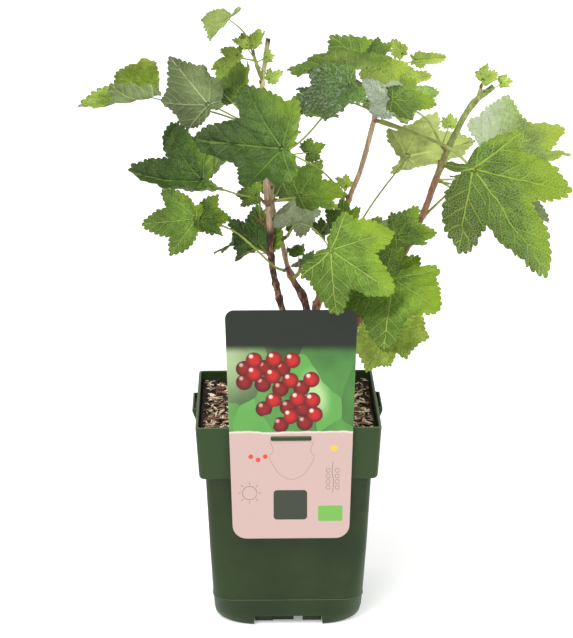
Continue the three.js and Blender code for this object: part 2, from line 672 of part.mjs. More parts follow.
function isClear(leaf, leaves) {
  const middle = middleOf(leaf);
  const limbs = Object.values(STEMS).flatMap(({ points }) => points);
  const clearOf = (place, length) => middle.distanceTo(place) > BACK_CLEAR * length;
  return leaves.every((other) => clearOf(middleOf(other), leaf.length + other.length))
    && limbs.every((point) => clearOf(new THREE.Vector3(...point), leaf.length));
}

// A leaf that grows away from the viewer, by seeded numbers
function backLeaf(mass, random) {
  const from = new THREE.Vector3(...mass.spur[mass.spur.length - 1]);
  const heading = mass.grown.facing + BACK_SPREAD * (2 * random() - 1);
  const rise = radians(mass.grown.rise + BACK_RISE_SPREAD * (2 * random() - 1));
  const length = between(BACK_STALK, random());
  const base = from.add(new THREE.Vector3(
    length * Math.cos(rise) * Math.cos(radians(heading)),
    length * Math.cos(rise) * Math.sin(radians(heading)),
    length * Math.sin(rise),
  ));
  return {
    base: base.toArray(),
    length: between(BACK_SIZE, random()),
    heading: heading + BACK_TURN * (2 * random() - 1),
    pitch: between(BACK_PITCH, random()),
    roll: BACK_ROLL * (2 * random() - 1),
    foldLeft: BACK_FOLD,
    foldRight: BACK_FOLD,
    droop: BACK_DROOP,
    via: [],
  };
}

// All leaves by mass: the ones placed by hand, then the ones that the rule grows and keeps
function allLeaves() {
  const byMass = {};
  for (const [name, mass] of Object.entries(FOLIAGE)) {
    byMass[name] = mass.leaves.map(readLeaf);
  }
  for (const [name, mass] of Object.entries(FOLIAGE)) {
    const random = seededNumbers(mass.grown ? mass.grown.seed : 0);
    let wanted = mass.grown ? mass.grown.count : 0;
    for (let tries = 0; tries < BACK_TRIES && wanted > 0; tries += 1) {
      const leaf = backLeaf(mass, random);
      if (isClear(leaf, Object.values(byMass).flat())) {
        byMass[name].push(leaf);
        wanted -= 1;
      }
    }
  }
  return byMass;
}

function massOfFoliage(mass, leaves) {
  let solid = limb(mass.spur, [SPUR_RADIUS, STALK_RADIUS * 1.2], 6, 3 * (mass.spur.length - 1));
  const route = mass.spur.map((point) => new THREE.Vector3(...point));
  const spur = new THREE.CatmullRomCurve3(route, false, 'centripetal');
  leaves.forEach((leaf, index) => {
    const from = spur.getPointAt(between(STALK_STARTS, 1 - index / leaves.length)).toArray();
    solid = solid.add(blade(leaf)).add(stalk(from, leaf));
  });
  for (const grown of Object.values(clearance)) {
    solid = solid.subtract(grown);
  }
  return solid;
}

const leavesByMass = allLeaves();
for (const [name, mass] of Object.entries(FOLIAGE)) {
  addPart(name, largestPiece(massOfFoliage(mass, leavesByMass[name])), 'foliage', 0.6);
}

export default group;
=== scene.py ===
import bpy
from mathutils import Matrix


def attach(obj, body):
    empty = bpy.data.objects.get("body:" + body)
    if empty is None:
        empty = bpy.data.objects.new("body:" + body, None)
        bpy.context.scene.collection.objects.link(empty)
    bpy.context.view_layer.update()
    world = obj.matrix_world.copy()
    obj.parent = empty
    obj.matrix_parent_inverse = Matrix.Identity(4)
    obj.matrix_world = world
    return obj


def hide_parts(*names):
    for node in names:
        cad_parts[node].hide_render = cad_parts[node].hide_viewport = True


bl_info = {
    "name": "Potted currant bush",
    "version": (1, 0, 0),
    "blender": (4, 5, 0),
    "location": "View3D > Sidebar > Bush",
    "description": "Dresses the packed model of a potted currant bush: pot, soil, label, canes and leaves",
    "category": "Object",
}

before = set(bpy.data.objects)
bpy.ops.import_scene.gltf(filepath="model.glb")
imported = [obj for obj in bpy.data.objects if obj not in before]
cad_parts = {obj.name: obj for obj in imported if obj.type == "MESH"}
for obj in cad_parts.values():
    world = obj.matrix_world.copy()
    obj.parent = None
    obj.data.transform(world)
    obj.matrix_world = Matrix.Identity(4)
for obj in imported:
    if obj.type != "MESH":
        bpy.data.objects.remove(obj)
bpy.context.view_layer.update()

import math
import random

import bmesh
import bpy
import numpy as np
from bpy.props import FloatProperty, FloatVectorProperty, IntProperty, PointerProperty
from bpy.types import Operator, Panel, PropertyGroup
from mathutils import Vector

# Sizes in this file are millimetres, as in the part's source. Blender gets metres.
MM = 0.001

# Pot
POT_HEIGHT = 154.6
COLLAR_HEIGHT = 39.5
BODY_HEIGHT = POT_HEIGHT - COLLAR_HEIGHT
RIM_HALF = 65
COLLAR_FOOT_HALF = 62.6
BODY_TOP_HALF = 58.4
BODY_FOOT_HALF = 53
COLLAR_CORNER = 4
# The corners of the body by height: almost sharp at its top, and round at its foot
BODY_CORNERS = ((0, 30), (2, 28), (8, 21), (20, 16), (60, 7), (POT_HEIGHT, 2))
LIP_WIDTH = 0.4
LIP_HEIGHT = 3
FOOT_LINE = 19.6
SKIRT_LIFT = 6.4
SKIRT_HALF = 24
FLOOR_TOP = 9
PAD_RADIUS = 16
# Walls behind each opening in the skirt: from where to where, and how far out each stands
INNER_SKIRT = ((-24, -11, 46.5), (-11, 4, 45), (10.4, 24, 46))
INNER_SKIRT_LIFT = 0.5
EAR_LENGTH = 36
EAR_PROUD = 3.1
EAR_UPRIGHT = 2.5
EAR_HEIGHT = 11.5
EAR_POCKET = 3.4
EAR_WALL = 1.3
EAR_DROP = 1.6
HOOK_HALF = 13.8
HOOK_LOW = 146.9
HOOK_HEIGHT = 2.6

# Where the points of a square ring stand along each straight side
SIDE_POINTS = (-28, -24.6, -24, -16, -8, 0, 8, 16, 24, 24.6, 28)
CORNER_STEPS = 12
# Edges that bend more than these degrees stay crisp
POT_CRISP = 50

# The big pieces of bark on the soil: x, y, length, width, thickness, turn in degrees, and which
# of the three barks
BIG_CHIPS = [
    (-55, 55, 15, 11, 1.8, 20, 0), (-50, 44, 16, 10, 1.6, -15, 1), (-36, 52, 18, 9, 1.5, 5, 0),
    (-53, -28, 17, 8, 1.5, -25, 1), (-42, -46, 15, 7, 1.3, 8, 1), (-30, 30, 14, 9, 1.4, 40, 0),
    (52, 46, 15, 10, 1.6, 60, 0), (30, 50, 17, 9, 1.5, 100, 1), (48, -14, 13, 8, 1.3, 70, 1),
    (10, -44, 15, 9, 1.4, 15, 0), (-10, 48, 14, 10, 1.4, 130, 2), (36, 8, 12, 7, 1.2, 10, 2),
    (-34, -6, 12, 8, 1.2, 80, 2), (56, 20, 12, 7, 1.3, 95, 0),
]

# The small chips: from which length to which, width as a share of it, thickness, and how often
# each of the three barks comes
CHIP_LENGTH = (2.2, 8)
CHIP_WIDTH = (0.4, 0.8)
CHIP_THICKNESS = (0.4, 0.9)
BARK_MIX = (6, 4, 2)
CHIP_SIDES = 7

# The straw: lengths of short and of long fibres, width, how high they lie, and how often each of
# the two colours comes
FIBRE_SHORT = (3, 6)
FIBRE_LONG = (5, 15)
FIBRE_WIDTH = (0.5, 1.5)
FIBRE_LIFT = (0.2, 2.2)
STRAW_MIX = (3, 2)
FIBRE_STEPS = 7

# Loose bits keep this far from the stem's middle, and inside a wall this thick
STEM_CLEAR = 9
SCATTER_WALL = 1.8
# How steeply they lie, as slopes: the usual spread and the most
TILT_SPREAD = 0.22
TILT_MOST = 0.45

# Label
LABEL_TOP = 241
LABEL_FOOT = 73.8
LABEL_TOP_HALF = 45.2
LABEL_FOOT_HALF = 41
LABEL_CENTRE_X = 1.6
LABEL_TOP_CORNER = 6
LABEL_FOOT_CORNER = 10
LABEL_BACK_Y = -68.4
SLOT_HALF = 14.1
SLOT_LOW = 146.6
SLOT_HIGH = 149.8
BAND_FOOT = 213.5
PICTURE_FOOT = 153.5
LABEL_BACK = (0.60, 0.58, 0.54)
# The printed fruit: cells to a metre, and in metres the height of the bunch's middle, each
# layer's shift with its share of the colour, and the half axes of the bunch
FRUIT_SCALE = 74.0
FRUIT_MIDDLE = 0.186
FRUIT_LAYERS = [((0.0068, 0.0061, 0.0), 0.5), ((0.0, 0.0, 0.0), 1.0)]
BUNCH_HALF = (0.025, 0.042)
# Ink on the card: how thick it is, how far it stands proud, its bevel, and the width of a line
INK_THICKNESS = 0.1
INK_PROUD = 0.04
INK_BEVEL = 0.01
LINE_WIDTH = 0.35
# The slot's tongue, and a sprig and a sun drawn beside it, as x and z from the card's middle
TONGUE = [(-14.5, 146), (-12.5, 139), (-15, 135), (-11, 126), (-7, 121), (0.5, 118), (8, 121),
          (12, 126), (16, 135), (13.5, 139), (15.5, 146)]
SPRIG = [(29, 108), (29.6, 116), (28.6, 124), (29.2, 131)]
SUN = (-29, 108)

# The stems. Points run from the foot upwards, and so do the radii.
STEMS = {
    "stem_base": {
        "points": [[11, 2, 147.3], [11, 2, 160], [13, 1, 185], [17, 0, 210]],
        "radii": [8, 5.4, 4.8, 4.4],
    },
    "cane_left": {
        "points": [
            [12, 1, 196], [3, -3, 208], [-4, -6, 225], [-8, -8, 242], [-11, -8, 258], [-12, -6, 282],
            [-14, -2, 306], [-15, 0, 330], [-16, 2, 352],
        ],
        "radii": [2.4, 2.2, 2.1, 2.2, 2.1],
    },
    "cane_middle": {
        "points": [
            [17, 0, 206], [12, 2, 228], [4, 4, 243], [0, 5, 253], [-4, 6, 271], [-8, 6, 284],
            [-11, 6, 304], [-15, 6, 343], [-17, 5, 384], [-15, 4, 400], [-13, 3, 415],
        ],
        "radii": [3.0, 1.7, 1.7, 1.6, 1.5],
    },
    "cane_centre": {
        "points": [
            [17, 0, 206], [22, 4, 225], [34, 10, 262], [44, 12, 298], [52, 12, 320], [61, 10, 356],
            [64, 9, 367], [67, 8, 379],
        ],
        "radii": [2.8, 2.3, 1.9, 1.8, 1.6],
    },
    "cane_right": {
        "points": [
            [14, 0, 165], [30, -2, 180], [48, -6, 208], [64, -8, 232], [80, -8, 260], [93, -8, 287],
            [111, -10, 338], [128, -12, 372], [142, -12, 384],
        ],
        "radii": [3.2, 2.7, 2.4, 2.3, 2.0],
    },
}

# The masses of foliage, as in the part's source. Each grows from a cane by one spur. A leaf's
# row holds the end of its stalk as x, y, z, the leaf's length, the heading, pitch and roll of
# its blade, how far its left and right halves fold up and its tip droops, all in degrees, and
# then the points that its stalk passes. "kinds" gives each leaf's kind of green in turn, and
# "grown" the leaves that the rule adds: how many, which way, how steeply, and the seed.
FOLIAGE = {
    "foliage_tip": {
        "spur": [[-17, 5, 386], [-20, 2, 394], [-23, 0, 404]],
        "kinds": "olive yellow pale yellow pale pale",
        "leaves": [
            [-39, 0, 431, 25, -135, -24, 0, 35, 20, 25, [-29, 0, 419]],
            [-24, -1, 410, 16, 72, 46, -16, 20, 20, 17],
            [-27, 0, 411, 9, 170, 20, -60, 20, 20, 10],
            [-33, 0, 404, 20, 178, -23, -30, 10, 10, 10],
            [-15, -3, 403, 6, 10, 10, 75, 20, 20, 10],
            [-13, -2, 387, 11, 0, 35, 60, 20, 20, 20],
        ],
    },
    "foliage_high_left": {
        "spur": [[-15, 6, 345], [-20, 3, 352]],
        "kinds": "light grey folded dark mid",
        "grown": [1, 135, -10, 392],
        "leaves": [
            [-34, 6, 375, 28, 90, 53, -40, 0, 25, 0],
            [-54, -25, 374, 41, 153, 46, 136, 35, 45, 0, [-35, -10, 362]],
            [-94, 10, 374, 49, -178, -12, -35, 70, 75, -10, [-45, 6, 361]],
            [-45, 4, 380, 18, 150, 0, 10, 20, 20, 10],
        ],
    },
    "foliage_mid_left": {
        "spur": [[-13, -4, 298], [-18, -6, 303]],
        "kinds": "dark mid",
        "leaves": [
            [-58, -25, 321, 58, -161, 1, -41, 45, 45, -35, [-36, -12, 309]],
            [-21, -8, 307, 15, 175, 5, -50, 10, 40, 20],
        ],
    },
    "foliage_low_left": {
        "spur": [[1, 5, 250], [-2, -4, 251]],
        "kinds": "light mid",
        "leaves": [
            [-63, -35, 297, 36, -175, -5, -85, 10, 10, 0, [-9, -15, 257], [-38, -26, 286]],
            [-62, -34, 297, 22, 10, 0, 60, 20, 20, 10, [-9, -15, 257], [-38, -26, 286]],
        ],
    },
    "foliage_inner_left": {
        "spur": [[-11, -8, 262], [-15, -9, 266]],
        "kinds": "mid dark dark",
        "leaves": [
            [-33, 5, 271, 24, 130, -23, -30, 20, 20, 20],
            [-20, -2, 268, 30, 95, 62, -10, 20, 20, 10],
            [-26, -12, 268, 12, -160, -20, -40, 60, 30, 40],
        ],
    },
    "foliage_inner_high": {
        "spur": [[-15, 0, 330], [-10, -2, 333]],
        "kinds": "deep mid mid",
        "leaves": [
            [42, -39, 390, 42, -170, -13, -16, 0, 30, 30, [8, -16, 346]],
            [14, 3, 334, 14, -20, 30, 70, 20, 20, 10],
            [0, 0, 350, 9, 0, 0, 60, 20, 20, 10],
        ],
    },
    "foliage_inner_mid": {
        "spur": [[-14, -3, 300], [-9, -8, 303]],
        "kinds": "light ash",
        "leaves": [
            [8, -24, 310, 35, 20, 3, 35, 20, 20, 10],
            [10, -10, 305, 31, 165, -45, 130, 40, 40, 10],
        ],
    },
    "foliage_heart": {
        "spur": [[-4, 6, 271], [0, 0, 275]],
        "kinds": "light yellow",
        "leaves": [
            [29, -50, 278, 53, -39, -22, 62, 13, 20, 25, [7, -19, 289], [17, -35, 290]],
            [2, 1, 284, 9, -60, 0, 60, 10, 10, 10],
        ],
    },
    "foliage_low_shoot": {
        "spur": [[4, 4, 243], [8, -1, 248], [9, -3, 252]],
        "kinds": "mid grey",
        "leaves": [
            [8, -3, 262, 11, 100, 30, -20, 30, 30, 10],
            [13, -5, 256, 12, 20, 10, 60, 30, 30, 10],
        ],
    },
    "foliage_centre_left": {
        "spur": [[44, 12, 300], [40, 7, 304]],
        "kinds": "dark mid grey pale",
        "leaves": [
            [-4, -45, 348, 66, -168, 7, -72, 45, 30, -25, [22, -20, 328]],
            [39, -2, 283, 19, 85, 65, 0, 20, 20, 10],
            [26, 0, 276, 14, 170, 40, -20, 20, 20, 10],
            [42, 6, 309, 10, 170, 50, -30, 20, 20, 30],
        ],
    },
    "foliage_centre_low": {
        "spur": [[34, 10, 262], [40, 6, 262]],
        "kinds": "pale mid mid light bright pale",
        "leaves": [
            [85, 25, 327, 50, 22, 5, -110, 80, 35, 30, [62, 16, 296]],
            [68, -22, 250, 32, 26, 74, 65, 20, 20, 10, [52, -6, 254]],
            [75, -27, 281, 28, 5, 5, 68, 10, 60, 10, [58, -12, 272]],
            [74, -32, 252, 58, -103, -32, 13, 6, 16, 8, [60, -18, 262]],
            [68, -20, 209, 30, -150, -58, -20, 10, 10, 10],
            [71, -25, 215, 31, -18, -6, 40, 0, 0, 10],
        ],
    },
    "foliage_right_large": {
        "spur": [[61, 10, 356], [66, 6, 356]],
        "kinds": "netted",
        "leaves": [
            [125, -50, 335, 84, -41, -43, 12, 15, 0, 6, [88, -16, 352], [113, -36, 344]],
        ],
    },
    "foliage_crown": {
        "spur": [[67, 8, 380], [67, 4, 388]],
        "kinds": "light mid yellow silver pale pale pale mid",
        "grown": [1, 115, -25, 200],
        "leaves": [
            [63, 15, 392, 60, -175, 4, -22, 45, 10, 15],
            [62, 18, 399, 17, 10, 40, 20, 20, 20, 10],
            [62, -20, 398, 27, -68, -21, 16, 14, 12, 6],
            [71, -32, 377, 26, -139, 30, -123, 49, 23, 30],
            [80, 0, 404, 13, 150, 50, -60, 30, 30, 10, [76, 2, 394]],
            [88, 4, 400, 18, 0, 5, 75, 60, 30, 10, [80, 3, 396]],
            [82, 6, 386, 16, 0, 8, 70, 30, 30, 10],
        ],
    },
    "foliage_right_inner": {
        "spur": [[111, -10, 338], [106, -14, 344]],
        "kinds": "mid pale",
        "leaves": [
            [70, -48, 382, 27, -5, -3, 50, 10, 10, 10, [96, -26, 363]],
            [112, -14, 356, 9, 80, 60, 0, 30, 30, 10],
        ],
    },
    "foliage_right_far": {
        "spur": [[93, -8, 287], [98, -4, 292]],
        "kinds": "sheen",
        "leaves": [
            [151, 30, 329, 58, 28, 14, 26, 15, 15, 8, [124, 12, 312]],
        ],
    },
    "foliage_right_tip": {
        "spur": [[132, -12, 377], [133, -13, 383]],
        "kinds": "pale pale",
        "leaves": [
            [134, -13, 388, 13, 20, 30, 40, 40, 30, 20],
            [146, -16, 387, 8, 0, 10, 60, 30, 30, 10, [139, -18, 383]],
        ],
    },
    "foliage_back_left": {
        "spur": [[-12, -6, 282], [-20, -1, 288]],
        "kinds": "mid", "leaves": [], "grown": [3, 100, 35, 204],
    },
    "foliage_back_middle": {
        "spur": [[-13, 6, 322], [-14, 13, 328]],
        "kinds": "mid dark light", "leaves": [], "grown": [3, 90, 30, 133],
    },
    "foliage_back_centre": {
        "spur": [[61, 10, 356], [62, 18, 361]],
        "kinds": "mid light", "leaves": [], "grown": [2, 115, 5, 111],
    },
    "foliage_back_right": {
        "spur": [[101, -9, 311], [105, -2, 317]],
        "kinds": "light mid dark", "leaves": [], "grown": [3, 20, -25, 246],
    },
    "foliage_back_low": {
        "spur": [[64, -8, 232], [66, 0, 238]],
        "kinds": "mid light", "leaves": [], "grown": [2, 90, -20, 332],
    },
    "foliage_back_heart": {
        "spur": [[22, 4, 225], [24, 12, 230]],
        "kinds": "dark mid light", "leaves": [], "grown": [3, 45, 25, 56],
    },
}

# Leaves that aren't of the common outline: how long their five lobes are, from the left basal
# one round to the right basal one, and how full the gaps between the lobes are
COMMON_SHAPE = (1, 1, 1, 1, 1, 1)
# How wide a lobe and a gap are for those shares, in degrees, and how far the lobes' lengths vary
LOBE_WIDTH = 19
GAP_WIDTH = 9
LOBE_SPREAD = 0.03
LEAF_SHAPES = {
    ("foliage_high_left", 1): (0.55, 1.0, 1.05, 1.0, 0.95, 1.22),
    ("foliage_high_left", 2): (0.9, 0.95, 1, 0.72, 1.42, 0.95),
    ("foliage_mid_left", 0): (0.9, 1, 1, 1.05, 0.9, 0.82),
    ("foliage_low_left", 0): (0.42, 0.9, 1, 0.95, 0.42, 0.98),
    ("foliage_low_left", 1): (0.5, 1, 1, 1, 0.5, 1.1),
    ("foliage_inner_high", 0): (1, 1, 1, 0.78, 0.7, 1.0),
    ("foliage_tip", 0): (0.9, 0.8, 0.92, 0.84, 0.8, 1.25),
    ("foliage_tip", 2): (0.4, 0.6, 1.2, 0.6, 0.4, 0.8),
    ("foliage_tip", 3): (0.5, 0.8, 1.05, 0.9, 0.6, 0.9),
    ("foliage_tip", 5): (0.5, 0.8, 1.1, 0.8, 0.5, 0.85),
    ("foliage_crown", 0): (1, 1, 1, 0.84, 0.8, 1.08),
    ("foliage_crown", 2): (0.8, 1, 1, 1, 0.8, 1.12),
    ("foliage_crown", 3): (0.8, 1, 1.1, 1, 0.8, 1.1),
    ("foliage_crown", 4): (0.6, 0.8, 1.0, 0.6, 0.4, 0.9),
    ("foliage_crown", 5): (0.3, 0.5, 1.2, 0.5, 0.3, 0.85),
    ("foliage_crown", 6): (0.4, 0.6, 1.15, 0.6, 0.4, 0.9),
    ("foliage_right_inner", 0): (0.6, 0.85, 1, 0.85, 0.6, 0.95),
    ("foliage_right_large", 0): (1.0, 0.93, 1.0, 0.97, 0.25, 0.86),
    ("foliage_centre_low", 4): (0.9, 1, 0.95, 1, 0.9, 1.25),
    ("foliage_centre_low", 5): (0.9, 1, 0.95, 1, 0.9, 1.3),
    ("foliage_centre_low", 0): (0.8, 1, 1, 1, 0.9, 1.0),
    ("foliage_heart", 0): (0.95, 1, 1, 1, 0.95, 0.94),
    ("foliage_centre_left", 0): (0.8, 1.02, 1.02, 1.0, 1.0, 0.95),
}

# The rule for grown leaves, as in the part's source
BACK_STALK = (30, 62)
BACK_SIZE = (27, 46)
BACK_SPREAD = 50
BACK_RISE_SPREAD = 20
BACK_TURN = 30
BACK_PITCH = (-40, 5)
BACK_ROLL = 30
BACK_FOLD = 22
BACK_DROOP = 18
BACK_CLEAR = 0.46
BACK_TRIES = 30

# Teeth of the leaves: their least spacing, how it grows with the leaf, how far they lean
# towards the lobe's tip, and how pointed they are
TOOTH_LEAST = 2.2
TOOTH_GROWTH = 0.045
TOOTH_LEAN = 0.55
TOOTH_POINT = 0.7

# Points to each tooth and rings from stalk to edge, for leaves longer than so many millimetres,
# and for the leaves that the rule grows
LEAF_DETAIL = ((50, (7, 32)), (26, (6, 22)), (14, (5, 13)), (0, (4, 8)))
GROWN_DETAIL = (5, 16)

# Towards here the leaves turn yellower, because the light shines through them there
SUNNY_SIDE = (0.9, 0.0, 0.4)

# Canes: points round them, how far apart their rings stand, and the buds at their joints
CANE_SIDES = 22
CANE_STEP = 1.1
BUD_LENGTH = 3.6
BUD_WIDTH = 2.0
BUD_TURN = 2.4

# Stalks and spurs. A leaf up to so long has a stalk so thick, as a share of the radius.
STALK_RADIUS = 0.8
STALK_THICKNESS = ((14, 0.55), (26, 0.8), (80, 1.0), (math.inf, 1.9))
STALK_TAPER = (1.35, 0.85, 0.8, 0.5)
GREEN_SPURS = ("foliage_tip", "foliage_right_tip", "foliage_low_shoot", "foliage_crown")
SPUR_RADIUS = 1.5
STALK_SUNK = 2.5
STALK_STARTS = (0.6, 0.97)
CREASE_SHARE = 0.45
CURVE_REACH = 0.31

# Half of a leaf seen flat, one unit long, from its tip round to its stalk: degrees from the
# midrib, and the reach from the stalk
LEAF_HALF = [
    (0, 1.03), (4, 0.98), (9, 0.89), (16, 0.78), (23, 0.685), (28, 0.63), (33, 0.68), (39, 0.775),
    (44, 0.86), (48, 0.905), (52, 0.85), (58, 0.76), (67, 0.655), (76, 0.585), (82, 0.555), (88, 0.57),
    (94, 0.575), (100, 0.53), (108, 0.41), (118, 0.30), (132, 0.20), (152, 0.11), (180, 0.05),
]
# The outline is drawn at so many steps and smoothed over a few of them
OUTLINE_STEPS = 1440
OUTLINE_BLUR = 21
LOBE_TIPS = (0, 48, 93)
LOBE_GAPS = (28, 82)

# The main veins run to the lobes. Each side vein leaves its main vein at a lean and curves
# towards the tip.
VEIN_TURNS = (0, 48, 96)
VEIN_EDGES = (23, 71)
VEIN_PITCH = 0.18
VEIN_LEAN = 42
VEIN_CURVE = 0.9

# Relief of a blade one unit long: how far from a vein it has puffed up, the groove over a main
# vein and the rib under it, and how high its waves and its fine grain are
PUFF_SLOPE = 0.024
GROOVE_WIDTH = 0.014
GROOVE_DEPTH = 0.007
RIB_HEIGHT = 0.011
WAVE_HEIGHT = 0.036
GRAIN_HEIGHT = 0.0035

# Camera: where it looks, how far away and how high it stands, and its turn in degrees
TARGET = (-0.4, 0.0, 214.0)
CAMERA_AWAY = 1478.0
CAMERA_HEIGHT = 658.0
CAMERA_AZIMUTH = -1.0
CAMERA_LENS = 121.8

# Lights and floor, in metres, and how wide the wide lights look
LIGHT_TARGET = (0, 0, 0.1)
KEY_PLACE = (-0.55, -0.9, 1.4)
TOP_PLACE = (0.35, -0.2, 1.6)
FRONT_PLACE = (0.5, -1.3, 0.5)
WIDE = math.radians(110)
GLOW_PLACE = (1.1, 0.35, 0.16)
FLOOR_REACH = 60.0


def colour_setting(name, description, *default):
    return FloatVectorProperty(name=name, description=description, default=default, subtype="COLOR")


def length_setting(name, description, millimetres):
    return FloatProperty(name=name, description=description, default=millimetres * MM, unit="LENGTH")


def number_setting(name, description, default, subtype="NONE"):
    return FloatProperty(name=name, description=description, default=default, subtype=subtype)


class PotSettings(PropertyGroup):
    """The nursery pot"""

    wall: length_setting("Wall", "Thickness of the pot's wall", 1.6)
    colour: colour_setting("Plastic", "Colour of the pot's plastic", 0.0180, 0.0360, 0.0090)
    # This dust colour also makes the painted highlight on surfaces that face up
    dust_and_sheen: colour_setting("Dust", "Colour of the dust that lies on the plastic", 0.10, 0.13, 0.08)


class SoilSettings(PropertyGroup):
    """The potting soil and what lies on it"""

    level: length_setting("Level", "Height of the soil above the floor", 147)
    relief: length_setting("Relief", "How far the soil's surface rises and falls", 1.6)
    chips: IntProperty(name="Chips", description="Number of bark chips", default=460)
    fibres: IntProperty(name="Fibres", description="Number of straw fibres", default=1100)
    colour: colour_setting("Soil", "Colour of the soil", 0.030, 0.017, 0.012)


class LabelSettings(PropertyGroup):
    """The hang-on label"""

    thickness: length_setting("Thickness", "Thickness of the card", 0.7)
    card: colour_setting("Card", "Colour of the plain part of the card", 0.53, 0.375, 0.345)
    band: colour_setting("Band", "Colour of the dark band along the top", 0.005, 0.010, 0.004)
    berry: colour_setting("Fruit", "Colour of the printed fruit", 0.50, 0.008, 0.006)
    backdrop: colour_setting("Backdrop", "Colour behind the printed fruit", 0.10, 0.32, 0.06)


class CaneSettings(PropertyGroup):
    """The stem and the canes"""

    relief: length_setting("Bark relief", "Depth of the furrows in the bark", 0.38)
    old: colour_setting("Old bark", "Colour of the old wood", 0.058, 0.026, 0.016)
    tan: colour_setting("Tan bark", "Colour of last year's wood", 0.50, 0.32, 0.21)
    brown: colour_setting("Brown bark", "Colour of the wood between old and young", 0.26, 0.125, 0.075)
    green: colour_setting("Green bark", "Colour of this year's wood", 0.22, 0.27, 0.08)
    cream: colour_setting("Cream bark", "Colour of the middle cane's top", 0.54, 0.50, 0.23)


class LeafSettings(PropertyGroup):
    """The leaves"""

    thickness: length_setting("Thickness", "Thickness of a leaf", 0.34)
    tooth: number_setting("Tooth depth", "Depth of the teeth as a share of their spacing", 0.36,
                          "FACTOR")
    crinkle: number_setting("Crinkle", "How far the blade puffs up, as a share of its length", 0.013,
                            "FACTOR")
    stalk: colour_setting("Stalk", "Colour of the leaf stalks", 0.26, 0.31, 0.07)


class StageSettings(PropertyGroup):
    """Floor, light and camera"""

    floor: colour_setting("Floor", "Colour of the floor", 0.95, 0.95, 0.95)
    shine: number_setting("Shine", "Light that comes up through the floor", 0.28)
    sky: number_setting("Sky", "Strength of the light all round", 0.52)
    key: number_setting("Key light", "Strength of the light from the upper left", 1.8)
    top: number_setting("Top light", "Strength of the wide light from above", 0.75)
    front: number_setting("Front light", "Strength of the wide light from the front", 0.4)
    glow: number_setting("Side light", "Power of the low light on the right", 8.0)
    softness: number_setting("Softness", "How wide the light from the upper left looks",
                            math.radians(32), "ANGLE")


# The kinds of leaves. A row holds four colours, of the upper side, of where light shines through
# it as painted light, of the veins and of the underside, and then, for the upper side, how rough
# it is, how clear its net of fine veins is, how glossy it is, how high its puffs are in metres, how
# clear its side veins are, and how dark the painted shade on its side away from the light is.
KIND_FIELDS = ("upper", "edge", "vein", "under", "rough", "net", "gloss", "bump", "side", "shade")
KIND_ROWS = {
    "deep": ((0.062, 0.135, 0.016), (0.120, 0.230, 0.012), (0.20, 0.34, 0.07), (0.13, 0.18, 0.08),
             0.26, 0.45, 0.7, 0.0006, 0.1, 0.8),
    "dark": ((0.082, 0.168, 0.026), (0.200, 0.330, 0.014), (0.26, 0.40, 0.07), (0.18, 0.24, 0.11),
             0.32, 0.2, 0.4, 0.0004, 0.05, 0.8),
    "mid": ((0.108, 0.200, 0.034), (0.215, 0.335, 0.016), (0.40, 0.55, 0.08), (0.20, 0.31, 0.075),
            0.36, 0.3, 0.25, 0.0005, 0.2, 0.8),
    "light": ((0.145, 0.265, 0.030), (0.245, 0.380, 0.018), (0.42, 0.57, 0.12), (0.28, 0.42, 0.09),
              0.38, 0.2, 0.22, 0.0005, 0.35, 0.6),
    "yellow": ((0.200, 0.305, 0.036), (0.320, 0.430, 0.018), (0.50, 0.64, 0.14), (0.35, 0.43, 0.16),
               0.38, 0.6, 0.22, 0.0005, 0.2, 0.5),
    "grey": ((0.110, 0.200, 0.040), (0.180, 0.270, 0.060), (0.44, 0.50, 0.26), (0.165, 0.220, 0.085),
             0.42, 0.3, 0.25, 0.0005, 0.3, 0.6),
    # silver: a leaf painted whitish green all over, a painted reflection of light on its glossy blade
    "silver": ((0.500, 0.610, 0.430), (0.520, 0.640, 0.380), (0.72, 0.80, 0.62), (0.500, 0.610, 0.430),
               0.42, 0.3, 0.25, 0.0005, 0.4, 0.6),
    "pale": ((0.360, 0.510, 0.080), (0.470, 0.570, 0.090), (0.64, 0.74, 0.22), (0.46, 0.54, 0.17),
             0.42, 0.4, 0.22, 0.0004, 0.25, 0.4),
}
# Kinds that differ from another one in a few values. "dusk" is the colour of the side away from
# the light where it isn't just a darker green; on the sheen kind it is a painted silver sheen. The
# bright kind is the pale one painted lighter: painted light on a leaf that lies in shade.
KIND_VARIANTS = {
    "olive": ("pale", {"upper": (0.30, 0.40, 0.10), "under": (0.30, 0.38, 0.13)}),
    "folded": ("pale", {"under": (0.22, 0.29, 0.12)}),
    "ash": ("grey", {"upper": (0.36, 0.42, 0.25), "under": (0.36, 0.42, 0.25)}),
    "netted": ("mid", {"net": 0.5, "side": 0.15, "shade": 0.9}),
    "bright": ("pale", {"upper": (0.560, 0.760, 0.120), "under": (0.600, 0.760, 0.160)}),
    "sheen": ("yellow", {"upper": (0.22, 0.33, 0.09), "dusk": (0.46, 0.54, 0.40), "shade": 1.0}),
}
LEAF_KINDS = {kind: dict(zip(KIND_FIELDS, row)) for kind, row in KIND_ROWS.items()}
LEAF_KINDS.update({kind: {**LEAF_KINDS[base], **own} for kind, (base, own) in KIND_VARIANTS.items()})

# Cells of the fine net to a millimetre, where the crinkled leaf has wider ones, and how much
# higher that leaf's puffs stand
CELLS = 0.52
CRINKLED_KIND = "deep"
CRINKLED_CELLS = 0.36
CRINKLED_PUFFS = 2.0


